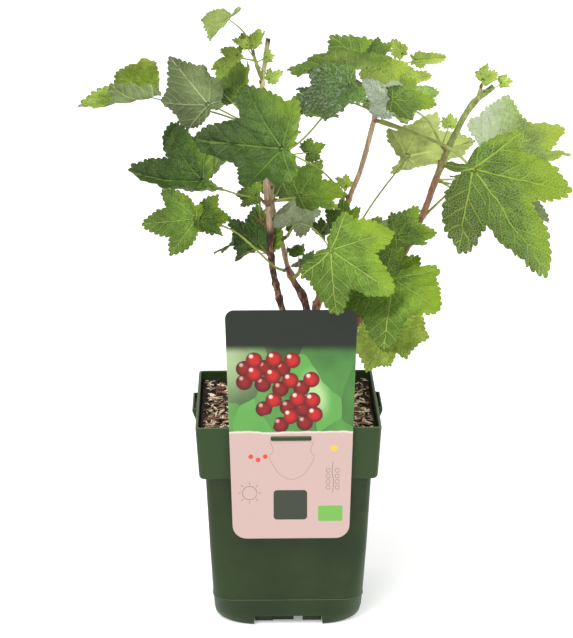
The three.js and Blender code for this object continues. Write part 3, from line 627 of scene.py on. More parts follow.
class Wave:
    """A socket in a material. Arithmetic on it adds Math nodes."""

    def __init__(self, shader, socket):
        self.shader = shader
        self.socket = socket

    def maths(self, operation, *values):
        inputs = dict(enumerate(values))
        return self.shader.node("ShaderNodeMath", {"operation": operation}, inputs)

    def __add__(self, other):
        return self.maths("ADD", self, other)

    __radd__ = __add__

    def __sub__(self, other):
        return self.maths("SUBTRACT", self, other)

    def __rsub__(self, other):
        return self.maths("SUBTRACT", other, self)

    def __mul__(self, other):
        return self.maths("MULTIPLY", self, other)

    __rmul__ = __mul__

    def __truediv__(self, other):
        return self.maths("DIVIDE", self, other)

    def __rtruediv__(self, other):
        return self.maths("DIVIDE", other, self)

    def __pow__(self, other):
        return self.maths("POWER", self, other)

    def size(self):
        return self.maths("ABSOLUTE", self)

    def sign(self):
        return self.maths("SIGN", self)

    def cosine(self):
        return self.maths("COSINE", self)

    def sine(self):
        return self.maths("SINE", self)

    def angle_from(self, other):
        return self.maths("ARCTAN2", self, other)

    def above(self, other):
        return self.maths("GREATER_THAN", self, other)

    def fraction(self):
        return self.maths("FRACT", self)

    def between(self, low, high):
        """0 up to low, 1 from high on, and a smooth step from one to the other"""
        inputs = {"Value": self, "From Min": low, "From Max": high}
        settings = {"interpolation_type": "SMOOTHSTEP"}
        return self.shader.node("ShaderNodeMapRange", settings, inputs)


class Shader:
    """A material that grows node by node"""

    def __init__(self, name):
        self.material = bpy.data.materials.new(name)
        self.material.use_nodes = True
        self.tree = self.material.node_tree
        self.tree.nodes.clear()

    def node(self, kind, settings=None, inputs=None, output=0):
        """Adds a node. Its settings come first, then the values or links of its sockets."""
        node = self.tree.nodes.new(kind)
        for key, value in (settings or {}).items():
            if key == "stops":
                self.set_stops(node.color_ramp, value)
            else:
                setattr(node, key, value)
        for key, value in (inputs or {}).items():
            if isinstance(value, Wave):
                self.tree.links.new(value.socket, node.inputs[key])
            else:
                node.inputs[key].default_value = value
        if output is None:
            return node
        return Wave(self, node.outputs[output])

    @staticmethod
    def set_stops(ramp, stops):
        while len(ramp.elements) < len(stops):
            ramp.elements.new(1.0)
        for element, (position, colour) in zip(ramp.elements, stops):
            element.position = position
            element.color = rgba(colour)

    def ramp(self, value, stops):
        return self.node("ShaderNodeValToRGB", {"stops": stops}, {"Fac": value})

    def mix(self, factor, first, second):
        """The first colour where factor is 0 and the second where it is 1"""
        ends = {"Factor": factor, 6: colour_input(first), 7: colour_input(second)}
        return self.node("ShaderNodeMix", {"data_type": "RGBA"}, ends, 2)

    def place(self):
        """Where a point is, in metres"""
        return self.node("ShaderNodeTexCoord", output="Object")

    def map(self, name):
        return self.node("ShaderNodeUVMap", {"uv_map": name})

    def parts(self, vector):
        node = self.node("ShaderNodeSeparateXYZ", inputs={0: vector}, output=None)
        return [Wave(self, socket) for socket in node.outputs]

    def join(self, x, y, z):
        return self.node("ShaderNodeCombineXYZ", inputs={0: x, 1: y, 2: z})

    def stretch(self, vector, scale):
        settings = {"operation": "MULTIPLY"}
        return self.node("ShaderNodeVectorMath", settings, {0: vector, 1: scale})

    def noise(self, vector, scale, detail=3.0, rough=0.55):
        inputs = {"Vector": vector, "Scale": scale, "Detail": detail, "Roughness": rough}
        return self.node("ShaderNodeTexNoise", None, inputs)

    def shifted(self, vector, amount):
        settings = {"operation": "ADD"}
        return self.node("ShaderNodeVectorMath", settings, {0: vector, 1: amount})

    def bump(self, height, depth):
        return self.node("ShaderNodeBump", None, {"Height": height, "Distance": depth})

    def surface(self, constants, **varying):
        """The Principled surface. Constants are set on its own sockets."""
        inputs = dict(constants)
        inputs.update({name.replace("_", " "): value for name, value in varying.items()})
        shader = self.node("ShaderNodeBsdfPrincipled", None, inputs)
        self.node("ShaderNodeOutputMaterial", None, {"Surface": shader}, None)
        return self.material


def rgba(colour):
    return (*tuple(colour)[:3], 1.0)


def colour_input(value):
    return value if isinstance(value, Wave) else rgba(value)


def scaled(colour, share):
    return tuple(channel * share for channel in tuple(colour)[:3])


def between(ends, share):
    return ends[0] + (ends[1] - ends[0]) * share


def smooth_step(low, high, value):
    share = np.clip((value - low) / (high - low), 0, 1)
    return share * share * (3 - 2 * share)


class Shape:
    """Points, faces and map coordinates that grow into one mesh"""

    def __init__(self, *maps):
        self.points = []
        self.count = 0
        self.faces = []
        self.maps = maps

    def add(self, points, face_groups, **maps):
        """Each group is (corners, slot) or (corners, slot, where its map coordinates stand)"""
        self.points.append(np.asarray(points, float))
        for corners, slot, *lookup in face_groups:
            corners = np.asarray(corners)
            look = np.asarray(lookup[0]) if lookup else corners
            placed = {name: np.asarray(maps[name])[look] for name in self.maps}
            self.faces.append((corners + self.count, slot, placed))
        self.count += len(points)

    def build(self, name, materials, smooth=True):
        """The mesh object, in metres, riding on the root"""
        mesh = bpy.data.meshes.new(name)
        points = np.concatenate(self.points) * MM
        corners = np.concatenate([faces.ravel() for faces, _, _ in self.faces])
        sizes = np.concatenate([np.full(len(f), f.shape[1]) for f, _, _ in self.faces])
        slots = np.concatenate([np.full(len(f), slot) for f, slot, _ in self.faces])
        mesh.vertices.add(len(points))
        mesh.vertices.foreach_set("co", points.ravel())
        mesh.loops.add(len(corners))
        mesh.loops.foreach_set("vertex_index", corners.astype(np.int32))
        mesh.polygons.add(len(sizes))
        mesh.polygons.foreach_set("loop_start", (np.cumsum(sizes) - sizes).astype(np.int32))
        mesh.polygons.foreach_set("material_index", slots.astype(np.int32))
        mesh.polygons.foreach_set("use_smooth", np.full(len(sizes), smooth))
        for map_name in self.maps:
            layer = mesh.uv_layers.new(name=map_name)
            values = np.concatenate([p[map_name].reshape(-1, 2) for _, _, p in self.faces])
            layer.data.foreach_set("uv", values.astype(np.float32).ravel())
        mesh.update(calc_edges=True)
        mesh.validate()
        for material in materials:
            mesh.materials.append(material)
        return placed_piece(name, mesh)


def placed_piece(name, mesh):
    """A mesh as a piece of the scene that rides on the root"""
    piece = bpy.data.objects.new(name, mesh)
    bpy.context.scene.collection.objects.link(piece)
    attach(piece, "root")
    return piece


def ring_faces(rings, steps, start=0, flip=False):
    """Quads between neighbouring closed rings of points"""
    ring, step = np.meshgrid(np.arange(rings - 1), np.arange(steps), indexing="ij")
    after = (step + 1) % steps
    corners = [ring * steps + step, ring * steps + after, (ring + 1) * steps + after,
               (ring + 1) * steps + step]
    faces = np.stack(corners, axis=-1).reshape(-1, 4) + start
    return faces[:, ::-1] if flip else faces


def fan_faces(centre, ring_start, steps, flip=False):
    """Triangles from one point to a closed ring"""
    step = np.arange(steps)
    columns = [np.full(steps, centre), ring_start + step, ring_start + (step + 1) % steps]
    faces = np.stack(columns, axis=-1)
    return faces[:, ::-1] if flip else faces


def ripple(points, waves, shortest, longest, seed):
    """A smooth random height from -1 to 1 over points, as a sum of waves"""
    draw = random.Random(seed)
    total = np.zeros(len(points))
    weight = 0
    for index in range(waves):
        length = shortest * (longest / shortest) ** (index / max(waves - 1, 1))
        direction = np.array([draw.gauss(0, 1) for _ in range(points.shape[1])])
        direction /= np.linalg.norm(direction)
        phase = draw.random() * 2 * math.pi
        size = length ** 0.7
        total += size * np.sin(points @ direction * (2 * math.pi / length) + phase)
        weight += size * size / 2
    return total / (2 * math.sqrt(weight))


def bevelled(mesh, radius):
    """Points and triangles of a closed bmesh whose edges are rounded first"""
    bmesh.ops.bevel(mesh, geom=mesh.edges[:], offset=radius, segments=2, profile=0.5, affect="EDGES")
    bmesh.ops.triangulate(mesh, faces=mesh.faces[:])
    points = np.array([vertex.co for vertex in mesh.verts])
    faces = np.array([[vertex.index for vertex in face.verts] for face in mesh.faces])
    mesh.free()
    return points, faces


def rounded_box(low, high, radius):
    """Points and triangles of a box with rounded edges"""
    mesh = bmesh.new()
    bmesh.ops.create_cube(mesh, size=1)
    size = [b - a for a, b in zip(low, high)]
    middle = [(a + b) / 2 for a, b in zip(low, high)]
    for vertex in mesh.verts:
        vertex.co = Vector([m + c * s for m, c, s in zip(middle, vertex.co, size)])
    return bevelled(mesh, radius)


# Pot


def square_ring(half, corner):
    """A square with rounded corners, as points round it"""
    flat = half - corner
    diagonal = flat + corner * math.sqrt(0.5)
    side = np.array(SIDE_POINTS) * min(1, 0.9 * diagonal / SIDE_POINTS[-1])
    over = np.maximum(np.abs(side) - flat, 0)
    out = flat + np.sqrt(corner ** 2 - over ** 2)
    start = math.asin(over[-1] / corner)
    bends = np.linspace(start, math.pi / 2 - start, CORNER_STEPS + 2)[1:-1]
    quarter = np.column_stack([
        np.concatenate([out, flat + corner * np.cos(bends)]),
        np.concatenate([side, flat + corner * np.sin(bends)]),
        np.zeros(len(side) + len(bends)),
    ])
    return np.concatenate([turn_points(quarter, turn) for turn in range(4)])[:, :2]


def turn_points(points, quarter_turns):
    """Points turned about the upright axis"""
    cos, sin = [(1, 0), (0, 1), (-1, 0), (0, -1)][quarter_turns]
    x = points[:, 0] * cos - points[:, 1] * sin
    y = points[:, 0] * sin + points[:, 1] * cos
    return np.column_stack([x, y, points[:, 2]])


def corner_at(height):
    """The corner radius of the body at a height"""
    return np.interp(height, *zip(*BODY_CORNERS))


def body_half(height):
    """The outside half width of the body at a height"""
    return between((BODY_FOOT_HALF, BODY_TOP_HALF), height / BODY_HEIGHT)


def inside_half(height, wall):
    """The inside half width of the pot at a height"""
    if height < BODY_HEIGHT:
        share = (height - FLOOR_TOP) / (BODY_HEIGHT - FLOOR_TOP)
        return between((BODY_FOOT_HALF, BODY_TOP_HALF), share) - wall
    return between((COLLAR_FOOT_HALF, RIM_HALF), (height - BODY_HEIGHT) / COLLAR_HEIGHT) - wall


def pot_levels(wall):
    """The pot's section from the middle of its underside, up outside and down inside.
    Each level is height, half width, corner radius, and whether the skirt lifts it."""
    ceiling = FLOOR_TOP - wall
    recess = BODY_FOOT_HALF - 0.4 - 2 * wall
    recess_corner = corner_at(0) - wall
    ceiling_corner = corner_at(ceiling) - wall
    levels = [
        (0, PAD_RADIUS - 1, PAD_RADIUS - 1, False),
        (0.4, PAD_RADIUS, PAD_RADIUS, False),
        (ceiling - 0.4, PAD_RADIUS, PAD_RADIUS, False),
        (ceiling, PAD_RADIUS + 1, PAD_RADIUS + 1, False),
        (ceiling, recess - 1, ceiling_corner, False),
        (ceiling - 0.4, recess, ceiling_corner, False),
        (0.5, recess, recess_corner, True),
        (0, recess + 0.5, recess_corner, True),
    ]
    # Up the body: the height, and how far inside the plain taper the surface is
    body = [
        (0, 1.7), (0.5, 1.0), (2, 0.4), (8, 0.2), (FOOT_LINE - 1.3, 0.1), (FOOT_LINE - 0.7, -0.15),
        (FOOT_LINE - 0.1, -0.45), (FOOT_LINE + 0.3, -0.35), (FOOT_LINE + 0.5, 0), (60, 0),
        (BODY_HEIGHT - 1.2, 0.1), (BODY_HEIGHT, -0.6),
    ]
    for height, inset in body:
        levels.append((height, body_half(height) - inset, corner_at(height), height <= 2))
    # Up the collar: the height, how far inside its plain taper, and down inside the lip
    collar = [(0, 1.9), (0.5, 0.8), (1.6, 0.15), (3, 0), (COLLAR_HEIGHT / 2, 0),
              (COLLAR_HEIGHT - 0.8, 0), (COLLAR_HEIGHT - 0.2, 0.2), (COLLAR_HEIGHT, 0.6)]
    for rise, inset in collar:
        half = between((COLLAR_FOOT_HALF, RIM_HALF), rise / COLLAR_HEIGHT)
        levels.append((BODY_HEIGHT + rise, half - inset, COLLAR_CORNER, False))
    lip = RIM_HALF - wall - LIP_WIDTH
    inside_corner = COLLAR_CORNER - wall
    for drop, inset in ((0, 0.6), (0.2, 0.2), (0.8, 0), (LIP_HEIGHT - 0.5, 0.2)):
        levels.append((POT_HEIGHT - drop, lip + inset, inside_corner, False))
    for height in (POT_HEIGHT - LIP_HEIGHT - 0.5, BODY_HEIGHT + wall, BODY_HEIGHT - wall):
        levels.append((height, inside_half(height, wall), inside_corner, False))
    for height in (60, FLOOR_TOP):
        levels.append((height, inside_half(height, wall), corner_at(height) - wall, False))
    return levels


def skirt_lift(points):
    """How far the pot's lower edge is lifted between its corner feet"""
    along = np.minimum(np.abs(points[:, 0]), np.abs(points[:, 1]))
    return SKIRT_LIFT * (1 - smooth_step(SKIRT_HALF, SKIRT_HALF + 0.6, along))


def pot_shape(wall):
    shape = Shape()
    levels = pot_levels(wall)
    rings = []
    for height, half, corner, lifted in levels:
        ring = square_ring(half, min(corner, half))
        rise = skirt_lift(ring) if lifted else 0
        heights = np.maximum(height, height * 0.2 + rise) if lifted else np.full(len(ring), height)
        rings.append(np.column_stack([ring, heights]))
    steps = len(rings[0])
    points = np.concatenate([*rings, [[0, 0, 0]], [[0, 0, FLOOR_TOP]]])
    under, inside = len(points) - 2, len(points) - 1
    shape.add(points, [
        (ring_faces(len(levels), steps), 0),
        (fan_faces(under, 0, steps, flip=True), 0),
        (fan_faces(inside, (len(levels) - 1) * steps, steps), 0),
    ])
    return shape


def bevelled_prism(outline, low, high, radius):
    """An upright outline of x and z, drawn out along y from low to high, with bevelled edges"""
    mesh = bmesh.new()
    face = mesh.faces.new([mesh.verts.new((x, low, z)) for x, z in outline])
    for item in bmesh.ops.extrude_face_region(mesh, geom=[face])["geom"]:
        if isinstance(item, bmesh.types.BMVert):
            item.co.y = high
    bmesh.ops.recalc_face_normals(mesh, faces=mesh.faces[:])
    return bevelled(mesh, radius)


def add_ears(shape):
    """The four pockets that stand proud of the rim, and the hook that carries the label"""
    high = POT_HEIGHT - EAR_DROP
    outer = RIM_HALF + EAR_PROUD
    wall = RIM_HALF - 0.5
    half = EAR_LENGTH / 2
    foot = (wall, high - EAR_HEIGHT)
    bend = (outer, high - EAR_UPRIGHT)
    strap = [(outer - EAR_WALL, high), (outer - EAR_WALL, high - EAR_POCKET),
             (wall, high - EAR_POCKET), foot, bend, (outer, high)]
    end = [(wall, high), foot, bend, (outer, high)]
    bars = [(strap, 0.2 - half, half - 0.2), (end, -half, EAR_WALL - half),
            (end, half - EAR_WALL, half)]
    for turn in range(4):
        for outline, near, far in bars:
            points, faces = bevelled_prism(outline, near, far, 0.25)
            shape.add(turn_points(points, turn), [(faces, 0)])
    points, faces = rounded_box(
        (LABEL_CENTRE_X - HOOK_HALF, -outer - 1.9, HOOK_LOW),
        (LABEL_CENTRE_X + HOOK_HALF, EAR_WALL * 1.5 - outer, HOOK_LOW + HOOK_HEIGHT),
        0.4,
    )
    shape.add(points, [(faces, 0)])


def add_inner_skirt(shape, wall):
    """The walls under the floor that show through the openings in the skirt"""
    for turn in range(4):
        for near, far, out in INNER_SKIRT:
            low = (near, -out, INNER_SKIRT_LIFT)
            high = (far, wall - out, FLOOR_TOP - wall / 2)
            points, faces = rounded_box(low, high, 0.3)
            shape.add(turn_points(points, turn), [(faces, 0)])


def pot_material(settings):
    """Matt green moulded plastic: the collar painted lighter as painted light, dust with a painted
    highlight where it faces up, and fine scuffs
    """
    shader = Shader("pot_plastic_matt")
    place = shader.place()
    height = shader.parts(place)[2]
    facing = shader.parts(shader.node("ShaderNodeNewGeometry", output="Normal"))[2]
    cloud = shader.noise(place, 28.0, 4.0)
    grain = shader.noise(place, 900.0, 2.0)
    scuffs = shader.noise(shader.stretch(place, (60.0, 60.0, 700.0)), 1.0, 4.0, 0.7)
    collar = height.between((BODY_HEIGHT - 0.6) * MM, (BODY_HEIGHT + 0.9) * MM)
    body = shader.mix(cloud.between(0.35, 0.7), scaled(settings.colour, 0.85),
                      scaled(settings.colour, 1.15))
    # Painted light: the collar is painted lighter than the body, standing in for the light that falls on
    # it more
    collar_painted_lighter = shader.mix(collar, body, scaled(settings.colour, 1.45))
    low_dust = (1 - height.between(0.0, 0.012)) * 0.22 * cloud
    # Paler where it faces up: dust, and a painted highlight where light catches the rim's top edge
    top_dust_and_highlight = facing.between(0.35, 0.8) * (0.5 + cloud * 0.5)
    colour = shader.mix(scuffs.between(0.6, 0.8) * 0.10 + low_dust, collar_painted_lighter, settings.dust_and_sheen)
    colour = shader.mix(top_dust_and_highlight * 0.8, colour, scaled(settings.dust_and_sheen, 1.5))
    rough = 0.40 + cloud * 0.12 + scuffs.between(0.55, 0.8) * 0.12
    bump = shader.bump(grain * 0.6 + scuffs * 0.4, 0.00012)
    return shader.surface({"Specular IOR Level": 0.24}, Base_Color=colour, Roughness=rough,
                          Normal=bump)


class BUSH_OT_pot(Operator):
    """Make the nursery pot with its straps and hook"""

    bl_idname = "bush.pot"
    bl_label = "Pot"

    def execute(self, context):
        settings = context.scene.bush_pot
        shape = pot_shape(settings.wall / MM)
        add_ears(shape)
        add_inner_skirt(shape, settings.wall / MM)
        piece = shape.build("pot_shell", [pot_material(settings)])
        piece.data.set_sharp_from_angle(angle=math.radians(POT_CRISP))
        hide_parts("pot")
        return {"FINISHED"}


# Soil


def soil_height(points, level, relief):
    """The height of the soil's surface at each point"""
    rough = ripple(points, 14, 5, 60, 11) * 0.8 + ripple(points, 10, 1.6, 7, 12) * 0.35
    root = STEMS["stem_base"]["points"][0]
    away = np.hypot(points[:, 0] - root[0], points[:, 1] - root[1])
    mound = 1.4 * np.exp(-(away / 20) ** 2)
    return level + relief * rough + mound


def soil_bed(settings, wall):
    """The body of soil, with a fine crumbly top"""
    shape = Shape()
    level = settings.level / MM
    relief = settings.relief / MM
    corner = COLLAR_CORNER - wall
    edge = inside_half(level, wall) - 0.3
    rings = []
    for height in (FLOOR_TOP + 0.5, 60, BODY_HEIGHT - wall, BODY_HEIGHT + wall):
        ring = square_ring(inside_half(height, wall) - 0.5, max(corner_at(height) - wall, corner))
        rings.append(np.column_stack([ring, np.full(len(ring), height)]))
    for share in np.linspace(1, 0.02, 60):
        half = edge * share
        ring = square_ring(half, min(half, corner + 8 * (1 - share)))
        heights = soil_height(ring, level, relief)
        heights = np.where(share > 0.985, level - 1.0, heights)
        rings.append(np.column_stack([ring, heights]))
    steps = len(rings[0])
    middle = np.array([[0, 0, level]])
    points = np.concatenate([*rings, middle, [[0, 0, FLOOR_TOP + 0.5]]])
    shape.add(points, [
        (ring_faces(len(rings), steps), 0),
        (fan_faces(len(points) - 2, (len(rings) - 1) * steps, steps), 0),
        (fan_faces(len(points) - 1, 0, steps, flip=True), 0),
    ])
    return shape


def scatter_spot(draw, level, margin):
    """A place on the soil, clear of the stem and of the pot's wall"""
    reach = inside_half(level, SCATTER_WALL) - margin
    root = STEMS["stem_base"]["points"][0]
    x, y = root[:2]
    while math.hypot(x - root[0], y - root[1]) < STEM_CLEAR:
        x, y = draw.uniform(-reach, reach), draw.uniform(-reach, reach)
    return x, y


def chip(draw, length, width, thick):
    """An angular chip of bark at the origin: its points, and its faces by three and by four"""
    sides = CHIP_SIDES
    angles = [(side + draw.uniform(-0.22, 0.22)) / sides * 2 * math.pi for side in range(sides)]
    reaches = [draw.uniform(0.75, 1.1) for _ in range(sides)]
    outline = np.array([(reach * length / 2 * math.cos(angle), reach * width / 2 * math.sin(angle))
                        for angle, reach in zip(angles, reaches)])
    heights = [
        np.full(sides, -thick),
        [thick * draw.uniform(0.1, 0.7) for _ in range(sides)],
        [thick * draw.uniform(0.7, 1.3) for _ in range(sides)],
    ]
    rings = [np.column_stack([outline * share, height])
             for share, height in zip((0.82, 1, 0.6), heights)]
    points = np.concatenate([*rings, [[0, 0, thick]], [[0, 0, -thick]]])
    tops = fan_faces(3 * sides, 2 * sides, sides)
    foot = fan_faces(3 * sides + 1, 0, sides, flip=True)
    return points, np.concatenate([tops, foot]), ring_faces(3, sides)


def fibre(draw, length, width):
    """A flat curved shred of straw at the origin: its points and its faces"""
    steps = FIBRE_STEPS
    bend = draw.gauss(0, 0.8)
    share = np.linspace(-0.5, 0.5, steps)
    heading = bend * share
    x = np.cumsum(np.cos(heading)) * length / steps
    y = np.cumsum(np.sin(heading)) * length / steps
    z = 0.10 * length * draw.uniform(-0.3, 1.0) * np.cos(share * math.pi)
    taper = width * (1.1 - 1.3 * np.abs(share)) / 2
    across = np.column_stack([-np.sin(heading), np.cos(heading)])
    roll = draw.uniform(-0.9, 0.9)
    rings = []
    for side, lift in ((1, 0.2), (-1, 0.2), (-1, -0.2), (1, -0.2)):
        offset = across * (taper * side)[:, None]
        height = z + lift * width + roll * side * taper
        centred = [x - x.mean() + offset[:, 0], y - y.mean() + offset[:, 1], height]
        rings.append(np.column_stack(centred))
    points = np.stack(rings, axis=1).reshape(-1, 3)
    last = 4 * steps - 1
    caps = np.array([[0, 1, 2, 3], [last, last - 1, last - 2, last - 3]])
    return points, np.concatenate([ring_faces(steps, 4), caps])


def laid(draw, points, spot, lift, level, relief, turn=None):
    """Points of a loose bit laid on the soil at a spot, turned and a little tilted"""
    turn = draw.uniform(0, 2 * math.pi) if turn is None else math.radians(turn)
    slopes = [max(min(draw.gauss(0, TILT_SPREAD), TILT_MOST), -TILT_MOST) for _ in range(2)]
    x = points[:, 0] * math.cos(turn) - points[:, 1] * math.sin(turn)
    y = points[:, 0] * math.sin(turn) + points[:, 1] * math.cos(turn)
    ground = soil_height(np.array([spot]), level, relief)[0]
    z = points[:, 2] + x * slopes[0] + y * slopes[1] + ground + lift
    return np.column_stack([x + spot[0], y + spot[1], z])


def crumb_material(name, dark, light, scale, rough):
    """Broken organic matter in two shades"""
    shader = Shader(name)
    place = shader.place()
    cloud = shader.noise(place, scale, 4.0, 0.65)
    grain = shader.noise(place, scale * 6, 3.0, 0.6)
    colour = shader.mix(cloud.between(0.35, 0.68), dark, light)
    roughness = rough + grain * 0.12
    bump = shader.bump(grain * 0.6 + cloud * 0.4, 0.0004)
    return shader.surface({"Specular IOR Level": 0.3}, Base_Color=colour, Roughness=roughness,
                          Normal=bump)


def bark_chips(draw, settings):
    """The big pieces of bark in their places, and the small ones scattered"""
    level, relief = settings.level / MM, settings.relief / MM
    barks = [
        crumb_material("bark_chip_dark", (0.010, 0.006, 0.005), (0.045, 0.022, 0.017), 300, 0.8),
        crumb_material("bark_chip_red", (0.075, 0.028, 0.018), (0.24, 0.105, 0.066), 260, 0.8),
        crumb_material("bark_chip_grey", (0.09, 0.065, 0.048), (0.28, 0.20, 0.145), 260, 0.85),
    ]
    chips = Shape()
    for x, y, length, width, thick, turn, slot in BIG_CHIPS:
        points, threes, fours = chip(draw, length, width, thick)
        placed = laid(draw, points, (x, y), thick * 0.5, level, relief, turn)
        chips.add(placed, [(threes, slot), (fours, slot)])
    for _ in range(settings.chips):
        length = draw.uniform(*CHIP_LENGTH)
        spot = scatter_spot(draw, level, length / 2 + 1)
        width, thick = length * draw.uniform(*CHIP_WIDTH), draw.uniform(*CHIP_THICKNESS)
        points, threes, fours = chip(draw, length, width, thick)
        slot = draw.choices(range(3), BARK_MIX)[0]
        placed = laid(draw, points, spot, 0.3, level, relief)
        chips.add(placed, [(threes, slot), (fours, slot)])
    return chips.build("soil_bark_chips", barks, smooth=False)


def loose_straw(draw, settings):
    """Shreds of straw scattered over the soil"""
    level, relief = settings.level / MM, settings.relief / MM
    straws = [
        crumb_material("straw_pale", (0.80, 0.60, 0.40), (1.0, 0.92, 0.76), 200.0, 0.7),
        crumb_material("straw_brown", (0.16, 0.08, 0.045), (0.42, 0.25, 0.14), 200.0, 0.75),
    ]
    fibres = Shape()
    for _ in range(settings.fibres):
        length = draw.choice([draw.uniform(*FIBRE_SHORT), draw.uniform(*FIBRE_LONG)])
        spot = scatter_spot(draw, level, length / 2 + 0.4)
        points, faces = fibre(draw, length, draw.uniform(*FIBRE_WIDTH))
        placed = laid(draw, points, spot, draw.uniform(*FIBRE_LIFT), level, relief)
        fibres.add(placed, [(faces, draw.choices(range(2), STRAW_MIX)[0])])
    return fibres.build("soil_straw", straws, smooth=False)


class BUSH_OT_soil(Operator):
    """Make the soil, the bark chips and the straw that lie on it"""

    bl_idname = "bush.soil"
    bl_label = "Soil"

    def execute(self, context):
        settings = context.scene.bush_soil
        dark, light = scaled(settings.colour, 0.35), scaled(settings.colour, 1.8)
        bed = crumb_material("soil_peat", dark, light, 190.0, 0.85)
        wall = context.scene.bush_pot.wall / MM
        piece = soil_bed(settings, wall).build("soil_bed", [bed])
        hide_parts("soil")
        draw = random.Random(21)
        piece = bark_chips(draw, settings)
        piece = loose_straw(draw, settings)
        return {"FINISHED"}


# Label


def arc(x, y, radius, start, end, steps):
    """Points on an arc, the angles in degrees"""
    angles = np.radians(np.linspace(start, end, steps))
    return [(x + radius * math.cos(a), y + radius * math.sin(a)) for a in angles]


def label_outline():
    """The card's outline as x and z, from its top right corner round"""
    slope = math.degrees(math.atan2(LABEL_TOP_HALF - LABEL_FOOT_HALF, LABEL_TOP - LABEL_FOOT))
    top, foot = LABEL_TOP_CORNER, LABEL_FOOT_CORNER
    return [
        *arc(LABEL_TOP_HALF - top, LABEL_TOP - top, top, -slope, 90, 12),
        *arc(top - LABEL_TOP_HALF, LABEL_TOP - top, top, 90, 180 + slope, 12),
        *arc(foot - LABEL_FOOT_HALF, LABEL_FOOT + foot, foot, 180 + slope, 270, 14),
        *arc(LABEL_FOOT_HALF - foot, LABEL_FOOT + foot, foot, 270, 360 - slope, 14),
    ]


def flat_card(name, loops, thickness, front, material, edge=0.05):
    """A flat sheet that stands upright: its outline and holes as x and z, and its front face's y"""
    curve = bpy.data.curves.new(name, "CURVE")
    curve.dimensions = "2D"
    curve.fill_mode = "BOTH"
    curve.extrude = (thickness / 2 - edge) * MM
    curve.bevel_depth = edge * MM
    curve.bevel_resolution = 1
    curve.offset = -edge * MM
    for loop in loops:
        spline = curve.splines.new("POLY")
        spline.points.add(len(loop) - 1)
        for point, (x, z) in zip(spline.points, loop):
            point.co = (x * MM, z * MM, 0, 1)
        spline.use_cyclic_u = True
    holder = bpy.data.objects.new(name + "_outline", curve)
    mesh = bpy.data.meshes.new_from_object(holder)
    bpy.data.objects.remove(holder)
    bpy.data.curves.remove(curve)
    mesh.name = name
    for vertex in mesh.vertices:
        x, z, depth = vertex.co
        vertex.co = (x, front * MM + thickness / 2 * MM - depth, z)
    mesh.materials.clear()
    mesh.materials.append(material)
    return placed_piece(name, mesh)


def printed_backdrop(shader, sheet, settings):
    """Blurred greens behind the fruit, pale towards the upper left"""
    x, z, _ = shader.parts(sheet)
    leafy = shader.noise(shader.stretch(sheet, (1.0, 0.6, 1.0)), 38.0, 2.0, 0.4)
    blades = shader.node("ShaderNodeTexVoronoi", {"voronoi_dimensions": "2D"}, {
        "Vector": shader.stretch(shader.shifted(sheet, leafy * 0.02), (1.0, 0.65, 1.0)), "Scale": 34.0,
    })
    tone, _, _ = shader.parts(Wave(shader, blades.socket.node.outputs["Color"]))
    dark = scaled(settings.backdrop, 0.22)
    backdrop = shader.mix((leafy * 0.6 + tone * 0.6).between(0.28, 0.75), dark, settings.backdrop)
    backdrop = shader.mix((tone * 1.4 - blades).between(0.75, 1.15) * 0.6, backdrop, (0.55, 0.74, 0.38))
    glow = (1 - (x * 22.0 + 1.0).size().between(0.0, 0.9)) * z.between(0.165, 0.205)
    return shader.mix(glow * 0.55, backdrop, (0.62, 0.78, 0.42))


def with_fruit(shader, sheet, picture, nudge, shade, settings):
    """The picture with a layer of round fruit: cells with a shaded middle, an edge and a
    highlight. A cell's own middle tells whether it is in the bunch, so no fruit is cut."""
    cells = {"voronoi_dimensions": "2D", "feature": "F1"}
    inputs = {"Scale": FRUIT_SCALE, "Randomness": 0.55}
    layer = shader.shifted(sheet, nudge)
    ball = shader.node("ShaderNodeTexVoronoi", cells, {**inputs, "Vector": layer})
    middle = Wave(shader, ball.socket.node.outputs["Position"])
    middle_x, middle_z, _ = shader.parts(middle)
    lit = shader.shifted(layer, (0.0021, -0.0028, 0.0))
    spot = shader.node("ShaderNodeTexVoronoi", cells, {**inputs, "Vector": lit})
    middle_red, edge_red = scaled(settings.berry, shade), scaled(settings.berry, shade * 0.25)
    red = shader.mix(ball.between(0.1, 0.44), middle_red, edge_red)
    red = shader.mix((1 - spot.between(0.04, 0.15)) * shade, red, (0.95, 0.62, 0.55))
    slant = middle_x * 0.8 + (middle_z - FRUIT_MIDDLE)
    across = middle_x - (middle_z - FRUIT_MIDDLE) * 0.8
    bunch = (slant / BUNCH_HALF[0]) ** 2 + (across / BUNCH_HALF[1]) ** 2
    fruit = (1 - ball.between(0.41, 0.44)) * (1 - bunch.above(1.0))
    return shader.mix(fruit, picture, red)


